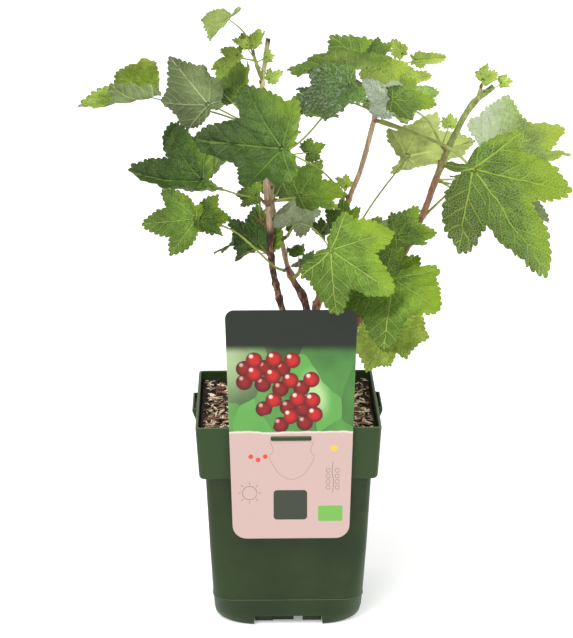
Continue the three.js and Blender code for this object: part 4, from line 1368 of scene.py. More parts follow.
def label_material(settings):
    """Printed card: a dark band, a picture of red fruit on green, and a plain pale foot"""
    shader = Shader("label_print")
    x, y, z = shader.parts(shader.place())
    sheet = shader.join(x, z, 0.0)
    cloud = shader.noise(sheet, 45.0, 3.0)
    fine = shader.noise(sheet, 700.0, 2.0)
    picture = printed_backdrop(shader, sheet, settings)
    for nudge, shade in FRUIT_LAYERS:
        picture = with_fruit(shader, sheet, picture, nudge, shade, settings)

    # The picture has a wavering pale lower edge, and the band lies over its top
    wavering = z + (cloud - 0.5) * 0.004
    is_picture = wavering.between(PICTURE_FOOT * MM - 0.0005, PICTURE_FOOT * MM + 0.0005)
    is_edge = wavering.between(PICTURE_FOOT * MM - 0.002, PICTURE_FOOT * MM) * (1 - is_picture)
    is_band = z.between(BAND_FOOT * MM - 0.004, BAND_FOOT * MM + 0.003)
    is_back = y.above((LABEL_BACK_Y - 0.1) * MM)
    card = shader.mix(cloud * 0.3, settings.card, scaled(settings.card, 1.06))
    card = shader.mix(is_edge * 0.7, card, (0.86, 0.82, 0.72))
    colour = shader.mix(is_picture, card, picture)
    colour = shader.mix(is_band, colour, settings.band)
    colour = shader.mix(is_back, colour, LABEL_BACK)
    rough = 0.34 + fine * 0.08
    return shader.surface({"Specular IOR Level": 0.4}, Base_Color=colour, Roughness=rough,
                          Normal=shader.bump(fine, 0.00002))


def print_material(name, colour):
    """Ink printed on the card, and the painted shadow in the tongue's die cut"""
    shader = Shader(name)
    fine = shader.noise(shader.place(), 900.0, 2.0)
    tone = shader.mix(fine * 0.35, colour, scaled(colour, 0.8))
    rough = 0.36 + fine * 0.08
    return shader.surface({"Specular IOR Level": 0.4}, Base_Color=tone, Roughness=rough)


def rounded_outline(x, z, width, height, radius):
    """A rounded rectangle about its middle, as x and z"""
    a, b = x + width / 2 - radius, z + height / 2 - radius
    c, d = x - width / 2 + radius, z - height / 2 + radius
    return [
        *arc(a, b, radius, 0, 90, 8), *arc(c, b, radius, 90, 180, 8),
        *arc(c, d, radius, 180, 270, 8), *arc(a, d, radius, 270, 360, 8),
    ]


def ribbon(points, width):
    """The outline of a line of this width along points"""
    points = np.array(points, float)
    along = np.gradient(points, axis=0)
    along /= np.linalg.norm(along, axis=1)[:, None]
    across = np.column_stack([-along[:, 1], along[:, 0]]) * width / 2
    return [tuple(p) for p in np.concatenate([points + across, (points - across)[::-1]])]


def label_marks():
    """The plain marks printed on the card, and the tongue's dark line, a painted shadow in its die cut: by
    name their ink and their outlines as x and z
    """
    x, z = SPRIG[0]
    ring = arc(*SUN, 5, 0, 350, 30)
    rays = [ray(*SUN, 6.2, 8.2, degrees) for degrees in range(0, 360, 45)]
    buds = [arc(x + side * 3.2, z + 4 + 4.2 * row, 1.5, 0, 345, 16)
            for row in range(4) for side in (-1, 1)]
    dots = [arc(-28 + 5 * k, 135 - 2.4 * (k % 2), 1.7, 0, 340, 18) for k in range(3)]
    return {
        "label_patch_square": ("green", [rounded_outline(-0.5, 99, 23.5, 22, 2.5)]),
        "label_patch_small": ("leaf", [rounded_outline(27.5, 92.5, 17, 11.5, 0.8)]),
        # The tongue's line is no ink: a strip of darkened card colour, a painted shadow in the die cut
        "label_tongue": ("crease", [ribbon(smooth_line(TONGUE, 60), LINE_WIDTH)]),
        "label_mark_ring": ("grey", [ribbon(ring, LINE_WIDTH)]),
        "label_mark_rays": ("grey", [ribbon(line, LINE_WIDTH) for line in rays]),
        "label_mark_stem": ("grey", [ribbon(smooth_line(SPRIG, 16), LINE_WIDTH)]),
        "label_mark_buds": ("grey", [ribbon(bud, 0.3) for bud in buds]),
        "label_mark_dots": ("red", dots),
        "label_mark_sun": ("yellow", [arc(30, 141, 2.6, 0, 345, 24)]),
    }


def on_card(loop):
    """An outline moved to the card's own middle"""
    return [(x + LABEL_CENTRE_X, z) for x, z in loop]


class BUSH_OT_label(Operator):
    """Make the hang-on label with a generic print"""

    bl_idname = "bush.label"
    bl_label = "Label"

    def execute(self, context):
        settings = context.scene.bush_label
        thickness = settings.thickness / MM
        front = LABEL_BACK_Y - thickness
        slot = rounded_outline(0, (SLOT_LOW + SLOT_HIGH) / 2, 2 * SLOT_HALF, SLOT_HIGH - SLOT_LOW, 0.8)
        loops = [on_card(label_outline()), on_card(slot)]
        card = flat_card("label_card_print", loops, thickness, front, label_material(settings))
        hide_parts("label")

        inks = {
            "green": print_material("ink_green", (0.032, 0.040, 0.022)),
            "leaf": print_material("ink_leaf", (0.16, 0.42, 0.07)),
            "red": print_material("ink_red", (0.62, 0.07, 0.03)),
            "yellow": print_material("ink_yellow", (0.72, 0.50, 0.06)),
            "grey": print_material("ink_grey", (0.16, 0.13, 0.12)),
            # Painted shadow: the card's colour darkened for the shadow in the tongue's die cut
            "crease": print_material("ink_crease", scaled(settings.card, 0.62)),
        }
        for name, (ink, loops) in label_marks().items():
            loops = [on_card(loop) for loop in loops]
            piece = flat_card(name, loops, INK_THICKNESS, front - INK_PROUD, inks[ink], INK_BEVEL)
        return {"FINISHED"}


def ray(x, z, inner, outer, degrees):
    """Points on a ray of the drawn sun"""
    angle = math.radians(degrees)
    return [(x + reach * math.cos(angle), z + reach * math.sin(angle))
            for reach in np.linspace(inner, outer, 3)]


def smooth_line(points, count):
    """Points on a smooth curve through the given ones"""
    return curve_points(np.array(points, float), np.linspace(0, 1, count))


# Curves and limbs


def curve_points(points, shares):
    """Points on a centripetal Catmull-Rom curve at shares of its length"""
    points = np.asarray(points, float)
    if len(points) == 2:
        return points[0] + (points[1] - points[0]) * np.asarray(shares)[:, None]
    first = 2 * points[0] - points[1]
    last = 2 * points[-1] - points[-2]
    knots = np.concatenate([[first], points, [last]])
    fine = []
    for index in range(len(points) - 1):
        p0, p1, p2, p3 = knots[index:index + 4]
        d1, d2, d3 = [max(np.linalg.norm(b - a), 1e-6) ** 0.5 for a, b in ((p0, p1), (p1, p2), (p2, p3))]
        m1 = (p1 - p0) / d1 - (p2 - p0) / (d1 + d2) + (p2 - p1) / d2
        m2 = (p2 - p1) / d2 - (p3 - p1) / (d2 + d3) + (p3 - p2) / d3
        t = np.linspace(0, 1, 25)[:, None]
        if index < len(points) - 2:
            t = t[:-1]
        m1, m2 = m1 * d2, m2 * d2
        fine.append((2 * t ** 3 - 3 * t ** 2 + 1) * p1 + (t ** 3 - 2 * t ** 2 + t) * m1
                    + (3 * t ** 2 - 2 * t ** 3) * p2 + (t ** 3 - t ** 2) * m2)
    fine = np.concatenate(fine)
    lengths = np.concatenate([[0], np.cumsum(np.linalg.norm(np.diff(fine, axis=0), axis=1))])
    wanted = np.asarray(shares) * lengths[-1]
    return np.column_stack([np.interp(wanted, lengths, fine[:, k]) for k in range(points.shape[1])])


def route_length(points):
    return sum(math.dist(a, b) for a, b in zip(points, points[1:]))


def frames_along(route):
    """Two directions across a route at each of its points, with no twist"""
    along = np.gradient(route, axis=0)
    along /= np.linalg.norm(along, axis=1)[:, None]
    start = np.cross(along[0], (0.1, 1, 0.2))
    side = start / np.linalg.norm(start)
    sides = []
    for direction in along:
        side = side - direction * (side @ direction)
        side = side / np.linalg.norm(side)
        sides.append(side)
    sides = np.array(sides)
    return sides, np.cross(along, sides)


def add_limb(shape, points, radii, sides, steps, relief=0.0, seed=0, slot=0, cap=None, swell=()):
    """A tapering round limb along a smooth curve. swell lists (share, how much, how long), and
    cap is the material slot of its two ends."""
    shares = np.linspace(0, 1, steps + 1)
    route = curve_points(points, shares)
    sides_a, sides_b = frames_along(route)
    radius = np.interp(shares * (len(radii) - 1), np.arange(len(radii)), radii)
    for share, much, reach in swell:
        radius = radius * (1 + much * np.exp(-((shares - share) / reach) ** 2))
    angle = np.arange(sides) / sides * 2 * math.pi
    ring, turn = np.meshgrid(np.arange(steps + 1), angle, indexing="ij")
    out = sides_a[ring] * np.cos(turn)[..., None] + sides_b[ring] * np.sin(turn)[..., None]
    reach = radius[ring]
    if relief:
        length = np.linalg.norm(np.diff(route, axis=0), axis=1).sum()
        flat = np.stack([np.cos(turn) * 2.2, np.sin(turn) * 2.2, shares[ring] * length / 5], axis=-1)
        flat = flat.reshape(-1, 3)
        rough = ripple(flat, 12, 0.8, 6, seed) * 0.7 + ripple(flat, 8, 0.35, 1.2, seed + 1) * 0.5
        reach = reach + relief * rough.reshape(reach.shape)
    skin = (route[ring] + out * reach[..., None]).reshape(-1, 3)
    count = len(skin)
    cap = slot if cap is None else cap
    along = np.concatenate([np.repeat(shares, sides), [0, 1]])
    around = np.concatenate([np.tile(np.arange(sides) / sides, steps + 1), [0, 0]])
    shape.add(np.concatenate([skin, [route[0], route[-1]]]), [
        (ring_faces(steps + 1, sides), slot),
        (fan_faces(count, 0, sides, flip=True), cap),
        (fan_faces(count + 1, steps * sides, sides), cap),
    ], along=np.column_stack([along, around]))


def add_bud(shape, place, direction, length, width, slot):
    """A pointed bud that stands on a limb"""
    direction = np.asarray(direction, float)
    direction /= np.linalg.norm(direction)
    place = np.asarray(place, float)
    shares = np.array([0, 0.35, 0.7, 1.0])
    points = [place + direction * length * share for share in shares]
    add_limb(shape, points, [width * 0.35, width * 0.5, width * 0.36, width * 0.04], 8, 8, slot=slot)


def bark_material(name, stops, streak, seed_shift, rugged):
    """Bark that changes along its cane, with furrows and pores"""
    shader = Shader(name)
    place = shader.place()
    along = shader.parts(shader.map("along"))[0]
    shifted = shader.shifted(place, (seed_shift, 0.0, 0.0))
    furrows = shader.noise(shader.stretch(shifted, (1400.0, 1400.0, 160.0)), 1.0, 4.0, 0.65)
    cloud = shader.noise(shifted, 90.0, 4.0, 0.6)
    pores = shader.node("ShaderNodeTexVoronoi", None, {
        "Vector": shader.stretch(shifted, (520.0, 520.0, 260.0)), "Scale": 1.0, "Randomness": 1.0,
    })
    base = shader.ramp(along + (cloud - 0.5) * 0.14, stops)
    streaks = shader.noise(shader.stretch(shifted, (900.0, 900.0, 22.0)), 1.0, 3.0, 0.7)
    light_stops = [(share, [min(c * 1.9, 0.8) for c in tone]) for share, tone in stops]
    lighter = shader.ramp(along, light_stops)
    colour = shader.mix(streaks.between(0.48, 0.62) * 0.7, base, lighter)
    colour = shader.mix(furrows.between(0.42, 0.70) * streak, colour, (0.035, 0.018, 0.012))
    flakes = shader.noise(shader.stretch(shifted, (420.0, 420.0, 150.0)), 1.0, 2.0)
    scaly = 1 - along.between(rugged, rugged + 0.04)
    colour = shader.mix(flakes.between(0.54, 0.60) * scaly * 0.75, colour, (0.36, 0.19, 0.115))
    colour = shader.mix((1 - flakes.between(0.38, 0.44)) * scaly * 0.8, colour, (0.030, 0.014, 0.010))
    colour = shader.mix((1 - pores.between(0.08, 0.16)) * 0.35, colour, (0.32, 0.24, 0.17))
    rough = 0.55 + cloud * 0.25
    bump = shader.bump(furrows * 0.7 + cloud * 0.3, 0.0003)
    return shader.surface({"Specular IOR Level": 0.35}, Base_Color=colour, Roughness=rough,
                          Normal=bump)


def plain_material(name, dark, light, scale, rough):
    """A living surface in two close shades"""
    shader = Shader(name)
    cloud = shader.noise(shader.place(), scale, 3.0)
    colour = shader.mix(cloud.between(0.3, 0.7), dark, light)
    bump = shader.bump(cloud, 0.0001)
    return shader.surface({"Specular IOR Level": 0.4}, Base_Color=colour,
                          Roughness=rough + cloud * 0.1, Normal=bump)


# Each cane's bark from foot to tip, how strongly it is streaked, up to which share of its
# length it is old and scaly, and its joints as share of its length, how far they swell and how
# long they are
CANE_LOOKS = {
    "stem_base": {
        "bark": [(0, "old"), (1, "old")], "streak": 0.6, "scaly": 1.0, "swell": [(0.9, 0.12, 0.1)],
    },
    "cane_left": {
        "bark": [(0, "old"), (0.54, "old"), (0.6, "tan"), (1, "tan")], "streak": 0.6, "scaly": 0.54,
        "swell": [(0.1, 0.4, 0.012), (0.17, 0.3, 0.01), (0.25, 0.35, 0.012), (0.32, 0.35, 0.012),
                  (0.44, 0.3, 0.014), (0.52, 0.3, 0.012), (0.86, 0.3, 0.012)],
    },
    "cane_middle": {
        "bark": [(0, "old"), (0.16, "old"), (0.19, "brown"), (0.25, "tan"), (0.65, "cream"),
                 (0.99, "cream"), (1, "old")],
        "streak": 0.4, "scaly": 0.17,
        "swell": [(0.12, 0.4, 0.02), (0.2, 0.5, 0.014), (0.27, 0.3, 0.01), (0.34, 0.4, 0.012),
                  (0.5, 0.3, 0.008), (0.64, 0.3, 0.008), (0.85, 0.4, 0.008), (0.93, 0.3, 0.008)],
    },
    "cane_centre": {
        "bark": [(0, "old"), (0.12, "brown"), (0.3, "tan"), (1, "tan")], "streak": 0.35, "scaly": 0.1,
        "swell": [(0.1, 0.3, 0.02), (0.32, 0.3, 0.012), (0.54, 0.25, 0.01), (0.9, 0.35, 0.014)],
    },
    "cane_right": {
        "bark": [(0, "old"), (0.25, "brown"), (0.66, "brown"), (0.82, "green"), (1, "green")],
        "streak": 0.4, "scaly": 0.2,
        "swell": [(0.3, 0.25, 0.012), (0.51, 0.3, 0.012), (0.74, 0.3, 0.01), (0.93, 0.25, 0.012)],
    },
}


def add_joint_buds(shape, stem, joints, first_turn):
    """A bud at each joint, one after the other round the cane"""
    points, radii = stem["points"], stem["radii"]
    for number, (share, _, _) in enumerate(joints):
        spot, ahead = curve_points(points, [share, min(share + 0.01, 1)])
        radius = np.interp(share * (len(radii) - 1), range(len(radii)), radii)
        turn = number * BUD_TURN + first_turn
        out = np.array([math.cos(turn), math.sin(turn), 0.0])
        lift = (ahead - spot) / max(np.linalg.norm(ahead - spot), 1e-6)
        length = BUD_LENGTH + 0.8 * (number % 2)
        add_bud(shape, spot + out * radius * 0.8, out * 0.55 + lift, length, BUD_WIDTH, 2)


class BUSH_OT_canes(Operator):
    """Make the stem and the canes with bark, joints, buds and cut tips"""

    bl_idname = "bush.canes"
    bl_label = "Canes"

    def execute(self, context):
        settings = context.scene.bush_cane
        cut = plain_material("cut_wood", (0.16, 0.10, 0.06), (0.34, 0.24, 0.15), 900.0, 0.8)
        bud = plain_material("bud_scales", (0.13, 0.06, 0.04), (0.26, 0.13, 0.09), 700.0, 0.6)
        for index, (name, stem) in enumerate(STEMS.items()):
            looks = CANE_LOOKS[name]
            stops = [(share, getattr(settings, kind)) for share, kind in looks["bark"]]
            bark = bark_material(name + "_bark", stops, looks["streak"], index * 0.37, looks["scaly"])
            shape = Shape("along")
            steps = int(route_length(stem["points"]) / CANE_STEP)
            add_limb(shape, stem["points"], stem["radii"], CANE_SIDES, steps,
                     relief=settings.relief / MM, seed=100 + index, cap=1, swell=looks["swell"])
            if name != "stem_base":
                add_joint_buds(shape, stem, looks["swell"], index)
            piece = shape.build(name + "_wood", [bark, cut, bud])
            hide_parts(name)
        return {"FINISHED"}


# Leaves


def seeded_numbers(seed):
    """Numbers from 0 to 1 that come out as in the part's source"""
    state = (seed * 2654435761) & 0xFFFFFFFF
    while True:
        state = (state * 1664525 + 1013904223) & 0xFFFFFFFF
        yield state / 4294967296


def pointing(heading, rise):
    """One unit that way, the angles in radians"""
    level = math.cos(rise)
    return np.array([level * math.cos(heading), level * math.sin(heading), math.sin(rise)])


class Leaf:
    """Where a leaf's stalk ends, how its blade lies, and how it folds and droops"""

    def __init__(self, row, kind, seed, form=COMMON_SHAPE):
        self.base = np.array(row[:3], float)
        self.length, self.heading, self.pitch, self.roll = row[3:7]
        self.fold_left, self.fold_right, self.droop = row[7:10]
        self.via = [np.array(point, float) for point in row[10:]]
        self.kind = kind
        self.seed = seed
        self.form = form
        heading, pitch, roll = np.radians([self.heading, self.pitch, self.roll])
        self.along = pointing(heading, pitch)
        level = np.array([-math.sin(heading), math.cos(heading), 0.0])
        over = np.cross(self.along, level)
        self.left = level * math.cos(roll) + over * math.sin(roll)
        self.upper = over * math.cos(roll) - level * math.sin(roll)
        sunny = np.array([self.along @ SUNNY_SIDE, self.left @ SUNNY_SIDE])
        self.sunny = sunny / np.linalg.norm(sunny)

    def middle(self):
        return self.base + self.along * self.length / 2

    def bend(self, x, y, height):
        """Where flat points of the leaf go when it folds along its midrib and droops"""
        fold = np.radians(np.where(y > 0, self.fold_left, self.fold_right))
        crease = fold * CREASE_SHARE
        curl = fold * (1 - CREASE_SHARE) / (CURVE_REACH * self.length)
        curl = np.where(np.abs(curl) < 1e-9, 1e-9, curl)
        out = np.abs(y)
        across = np.sin(curl * out) / curl - height * np.sin(curl * out)
        up = (1 - np.cos(curl * out)) / curl + height * np.cos(curl * out)
        side = (across * np.cos(crease) - up * np.sin(crease)) * np.sign(y)
        rise = across * np.sin(crease) + up * np.cos(crease)
        droop = math.radians(self.droop) / self.length or 1e-9
        ahead = np.sin(droop * x) / droop + rise * np.sin(droop * x)
        down = (np.cos(droop * x) - 1) / droop + rise * np.cos(droop * x)
        return (self.base + ahead[:, None] * self.along + side[:, None] * self.left
                + down[:, None] * self.upper)


def is_clear(leaf, others):
    """Whether a grown leaf keeps away from the other leaves and from the canes"""
    middle = leaf.middle()
    for other in others:
        if np.linalg.norm(middle - other.middle()) <= BACK_CLEAR * (leaf.length + other.length):
            return False
    limbs = [point for stem in STEMS.values() for point in stem["points"]]
    return all(np.linalg.norm(middle - point) > BACK_CLEAR * leaf.length for point in limbs)


def grown_leaf(mass, numbers, kind, seed):
    """A leaf that grows out of sight, by seeded numbers"""
    _, facing, rise_middle, _ = mass["grown"]
    heading = facing + BACK_SPREAD * (2 * next(numbers) - 1)
    rise = math.radians(rise_middle + BACK_RISE_SPREAD * (2 * next(numbers) - 1))
    length = between(BACK_STALK, next(numbers))
    base = np.array(mass["spur"][-1], float) + length * pointing(math.radians(heading), rise)
    size = between(BACK_SIZE, next(numbers))
    heading += BACK_TURN * (2 * next(numbers) - 1)
    pitch = between(BACK_PITCH, next(numbers))
    roll = BACK_ROLL * (2 * next(numbers) - 1)
    return Leaf([*base, size, heading, pitch, roll, BACK_FOLD, BACK_FOLD, BACK_DROOP], kind, seed)


def leaf_seed(mass, leaf):
    return 1000 + 50 * mass + leaf


def all_leaves():
    """All leaves by mass: the ones listed, then the ones that the rule grows and keeps"""
    by_mass = {}
    for number, (name, mass) in enumerate(FOLIAGE.items()):
        kinds = mass["kinds"].split()
        by_mass[name] = []
        for k, row in enumerate(mass["leaves"]):
            form = LEAF_SHAPES.get((name, k), COMMON_SHAPE)
            by_mass[name].append(Leaf(row, kinds[k % len(kinds)], leaf_seed(number, k), form))
    for number, (name, mass) in enumerate(FOLIAGE.items()):
        wanted, _, _, seed = mass.get("grown", [0, 0, 0, 0])
        numbers = seeded_numbers(seed)
        kinds = mass["kinds"].split()
        for _ in range(BACK_TRIES):
            if wanted == 0:
                break
            count = len(by_mass[name])
            leaf = grown_leaf(mass, numbers, kinds[count % len(kinds)], leaf_seed(number, count))
            if is_clear(leaf, [other for leaves in by_mass.values() for other in leaves]):
                by_mass[name].append(leaf)
                wanted -= 1
    return by_mass


def leaf_detail(length, grown):
    """Points to each tooth of a leaf, and rings from its stalk to its edge"""
    if grown:
        return GROWN_DETAIL
    return next(detail for least, detail in LEAF_DETAIL if length > least)


def leaf_outline(draw, form):
    """The smooth outline at fine steps: degrees from the midrib, and the reach from the stalk"""
    half = np.array(LEAF_HALF)
    angle = np.concatenate([-half[::-1, 0], half[1:-1, 0]])
    reach = np.concatenate([half[::-1, 1], half[1:-1, 1]])
    *lobes, fullness = form
    tips = [*LOBE_TIPS[:0:-1], *[-tip for tip in LOBE_TIPS]]
    for tip, share in zip(tips, lobes):
        share = share * (1 + draw.gauss(0, LOBE_SPREAD))
        reach = reach * (1 + (share - 1) * np.exp(-((angle - tip) / LOBE_WIDTH) ** 2))
    for gap in (*LOBE_GAPS, *[-g for g in LOBE_GAPS]):
        reach = reach * (1 + (fullness - 1) * np.exp(-((angle - gap) / GAP_WIDTH) ** 2))
    fine = np.linspace(-180, 180, OUTLINE_STEPS + 1)
    around = np.concatenate([angle - 360, angle, angle + 360])
    smooth = np.interp(fine, around, np.tile(reach, 3))
    pad = OUTLINE_BLUR - 1
    kernel = np.hanning(OUTLINE_BLUR) / np.hanning(OUTLINE_BLUR).sum()
    padded = np.concatenate([smooth[-OUTLINE_BLUR:-1], smooth, smooth[1:OUTLINE_BLUR]])
    return fine, np.convolve(padded, kernel, "same")[pad:-pad]


def leaf_rim(draw, form, spacing, per_tooth, depth):
    """The smooth outline as points, and how far its teeth move each point"""
    angle, reach = leaf_outline(draw, form)
    turn = np.radians(angle)
    edge = np.column_stack([reach * np.cos(turn), reach * np.sin(turn)])
    length = np.concatenate([[0], np.cumsum(np.linalg.norm(np.diff(edge, axis=0), axis=1))])
    marks = sorted([-180, *LOBE_TIPS, *LOBE_GAPS, 180, *[-m for m in (*LOBE_TIPS[1:], *LOBE_GAPS)]])
    counts = []
    places = np.interp(marks, angle, length)
    for first, last in zip(places, places[1:]):
        counts.append(max(round((last - first) / spacing - 0.5), 1) + 0.5)
    numbers = np.concatenate([[0], np.cumsum(counts)])
    teeth = int(round(numbers[-1]))
    numbers = numbers * teeth / numbers[-1]
    wanted = np.arange(teeth * per_tooth) / per_tooth
    spots = np.interp(wanted, numbers, places)
    rim = np.column_stack([np.interp(spots, length, edge[:, k]) for k in range(2)])
    ahead = np.roll(rim, -1, axis=0) - np.roll(rim, 1, axis=0)
    step = np.linalg.norm(ahead, axis=1)
    ahead /= step[:, None]
    outward = np.column_stack([ahead[:, 1], -ahead[:, 0]])
    far = np.linalg.norm(rim, axis=1)
    uphill = np.tanh((np.roll(far, -2) - np.roll(far, 2)) / (step * 0.8))
    sizes = np.array([draw.uniform(0.5, 1.35) for _ in range(teeth)])
    height = np.abs(np.sin(math.pi * wanted)) ** TOOTH_POINT
    height *= sizes[np.floor(wanted).astype(int) % teeth]
    height *= depth * spacing * smooth_step(0.12, 0.4, far)
    return rim, outward * height[:, None] + ahead * (uphill * height * TOOTH_LEAN)[:, None]


def vein_places(flat):
    """How far along the nearest main vein a flat point is, and how far from it and from the
    nearest side vein"""
    angle = np.degrees(np.arctan2(np.abs(flat[:, 1]), flat[:, 0]))
    reach = np.linalg.norm(flat, axis=1)
    sectors = [angle < edge for edge in VEIN_EDGES]
    nearest = np.select(sectors, VEIN_TURNS[:2], VEIN_TURNS[2])
    gap = np.radians(angle - nearest)
    along, away = reach * np.cos(gap), np.abs(reach * np.sin(gap))
    start = along - away / math.tan(math.radians(VEIN_LEAN)) - VEIN_CURVE * away ** 2
    cycle = start / VEIN_PITCH + 0.25 * np.sign(gap)
    side = np.abs(cycle - np.floor(cycle) - 0.5) * VEIN_PITCH * math.sin(math.radians(VEIN_LEAN))
    return along, away, side


def flat_blade(rim, teeth, rings):
    """Points of a flat blade from its stalk out, and how far out each is, as a share"""
    shares = 1 - (1 - np.arange(1, rings + 1) / rings) ** 1.15
    flat = [np.zeros((1, 2))]
    for share in shares:
        flat.append(rim * share + teeth * smooth_step(0.8, 1.0, share) ** 1.3)
    return np.concatenate(flat), np.concatenate([[0], np.repeat(shares, len(rim))])


def blade_relief(draw, leaf, flat, out, crinkle):
    """How high each point of a blade stands, and how thick the rib under it is"""
    along, away, side = vein_places(flat)
    between_veins = 1 - np.exp(-(np.minimum(away, side) / PUFF_SLOPE) ** 2)
    groove = np.exp(-(away / GROOVE_WIDTH) ** 2) * np.clip(1 - 0.7 * along, 0, 1)
    turn = np.arctan2(flat[:, 1], flat[:, 0])
    phase = draw.random() * 6
    wave = ripple(flat + draw.random() * 9, 6, 0.16, 0.6, leaf.seed) * WAVE_HEIGHT
    fine = ripple(flat + draw.random() * 9, 9, 0.035, 0.09, leaf.seed + 7) * GRAIN_HEIGHT
    edge_wave = out ** 3 * (0.018 * np.sin(9 * turn + phase) + 0.012 * np.sin(17 * turn + 2 * phase))
    relief = crinkle * between_veins * (1 - 0.5 * out ** 6) - GROOVE_DEPTH * groove + fine
    height = (relief + wave * out + edge_wave) * leaf.length
    rib = (RIB_HEIGHT * leaf.length * np.clip(1 - along, 0.1, 1) + 0.1) * groove
    return height, rib


def blade_faces(rings, steps, slots):
    """Faces of both sides of a blade and of its edge, by their slots"""
    count = 1 + rings * steps
    body = ring_faces(rings, steps, 1)
    fan = fan_faces(0, 1, steps)
    step = count - steps + np.arange(steps)
    after = np.roll(step, -1)
    edge = np.stack([step, step + count, after + count, after], axis=-1)
    edge_look = np.stack([step, step, after, after], axis=-1)
    return [
        (body, slots[0]), (fan, slots[0]),
        (body[:, ::-1] + count, slots[1]), (fan[:, ::-1] + count, slots[1]),
        (edge, slots[0], edge_look),
    ]


def add_leaf(shape, leaf, settings, slots, tile, grown):
    """A toothed, veined blade with an upper side and an underside"""
    draw = random.Random(leaf.seed)
    per_tooth, rings = leaf_detail(leaf.length, grown)
    spacing = (TOOTH_LEAST + TOOTH_GROWTH * leaf.length) / leaf.length
    rim, teeth = leaf_rim(draw, leaf.form, spacing, per_tooth, settings.tooth)
    flat, out = flat_blade(rim, teeth, rings)
    crinkle = settings.crinkle * (CRINKLED_PUFFS if leaf.kind == CRINKLED_KIND else 1.0)
    height, rib = blade_relief(draw, leaf, flat, out, crinkle)
    thick = settings.thickness / MM * (1 - 0.5 * out ** 8)
    x, y = flat[:, 0] * leaf.length, flat[:, 1] * leaf.length
    upper = leaf.bend(x, y, height + thick / 2)
    under = leaf.bend(x, y, height - thick / 2 - rib)
    shift = np.array([draw.uniform(0, 900), draw.uniform(0, 900)])
    sun = (flat - np.array([0.3, 0.0])) @ leaf.sunny
    tile_x, tile_y, tile_size = tile
    spread = (flat - np.array([0.2, 0.0])) * 0.52 + 0.5
    bake = np.column_stack([tile_x + spread[:, 0] * tile_size, tile_y + spread[:, 1] * tile_size])
    bake_under = bake + np.array([0.0, 0.5])
    shape.add(
        np.concatenate([upper, under]),
        blade_faces(rings, len(rim), slots),
        flat=np.tile(flat, (2, 1)),
        grain=np.tile(flat * leaf.length + shift, (2, 1)),
        edge=np.tile(np.column_stack([out, sun]), (2, 1)),
        OFBake=np.concatenate([bake, bake_under]),
    )


def vein_masks(shader, flat):
    """Where the main veins and the side veins are, as in vein_places, and how far along the
    nearest main vein the point lies"""
    x, y, _ = shader.parts(flat)
    angle = y.size().angle_from(x)
    past_first = angle.above(math.radians(VEIN_EDGES[0]))
    past_second = angle.above(math.radians(VEIN_EDGES[1]))
    gap = angle - past_first * math.radians(VEIN_TURNS[1])
    gap = gap - past_second * math.radians(VEIN_TURNS[2] - VEIN_TURNS[1])
    reach = (x * x + y * y) ** 0.5
    along = reach * gap.cosine()
    wander = (shader.noise(flat, 7.0, 1.0) - 0.5) * 0.035
    away = (reach * gap.sine() + wander * reach).size()
    start = along - away * (1 / math.tan(math.radians(VEIN_LEAN))) - away * away * VEIN_CURVE
    cycle = ((start + wander) * (1 / VEIN_PITCH) + gap.sign() * 0.25).fraction()
    side_gap = (cycle - 0.5).size() * (VEIN_PITCH * math.sin(math.radians(VEIN_LEAN)))
    main = 1 - (away + along * 0.0050 + past_first * 0.0014 - 0.0076).between(0.0, 0.0036)
    side = 1 - (side_gap + away * 0.008 - 0.0034).between(0.0, 0.0040)
    return main, side * (start + 0.03).between(0.0, 0.03), along


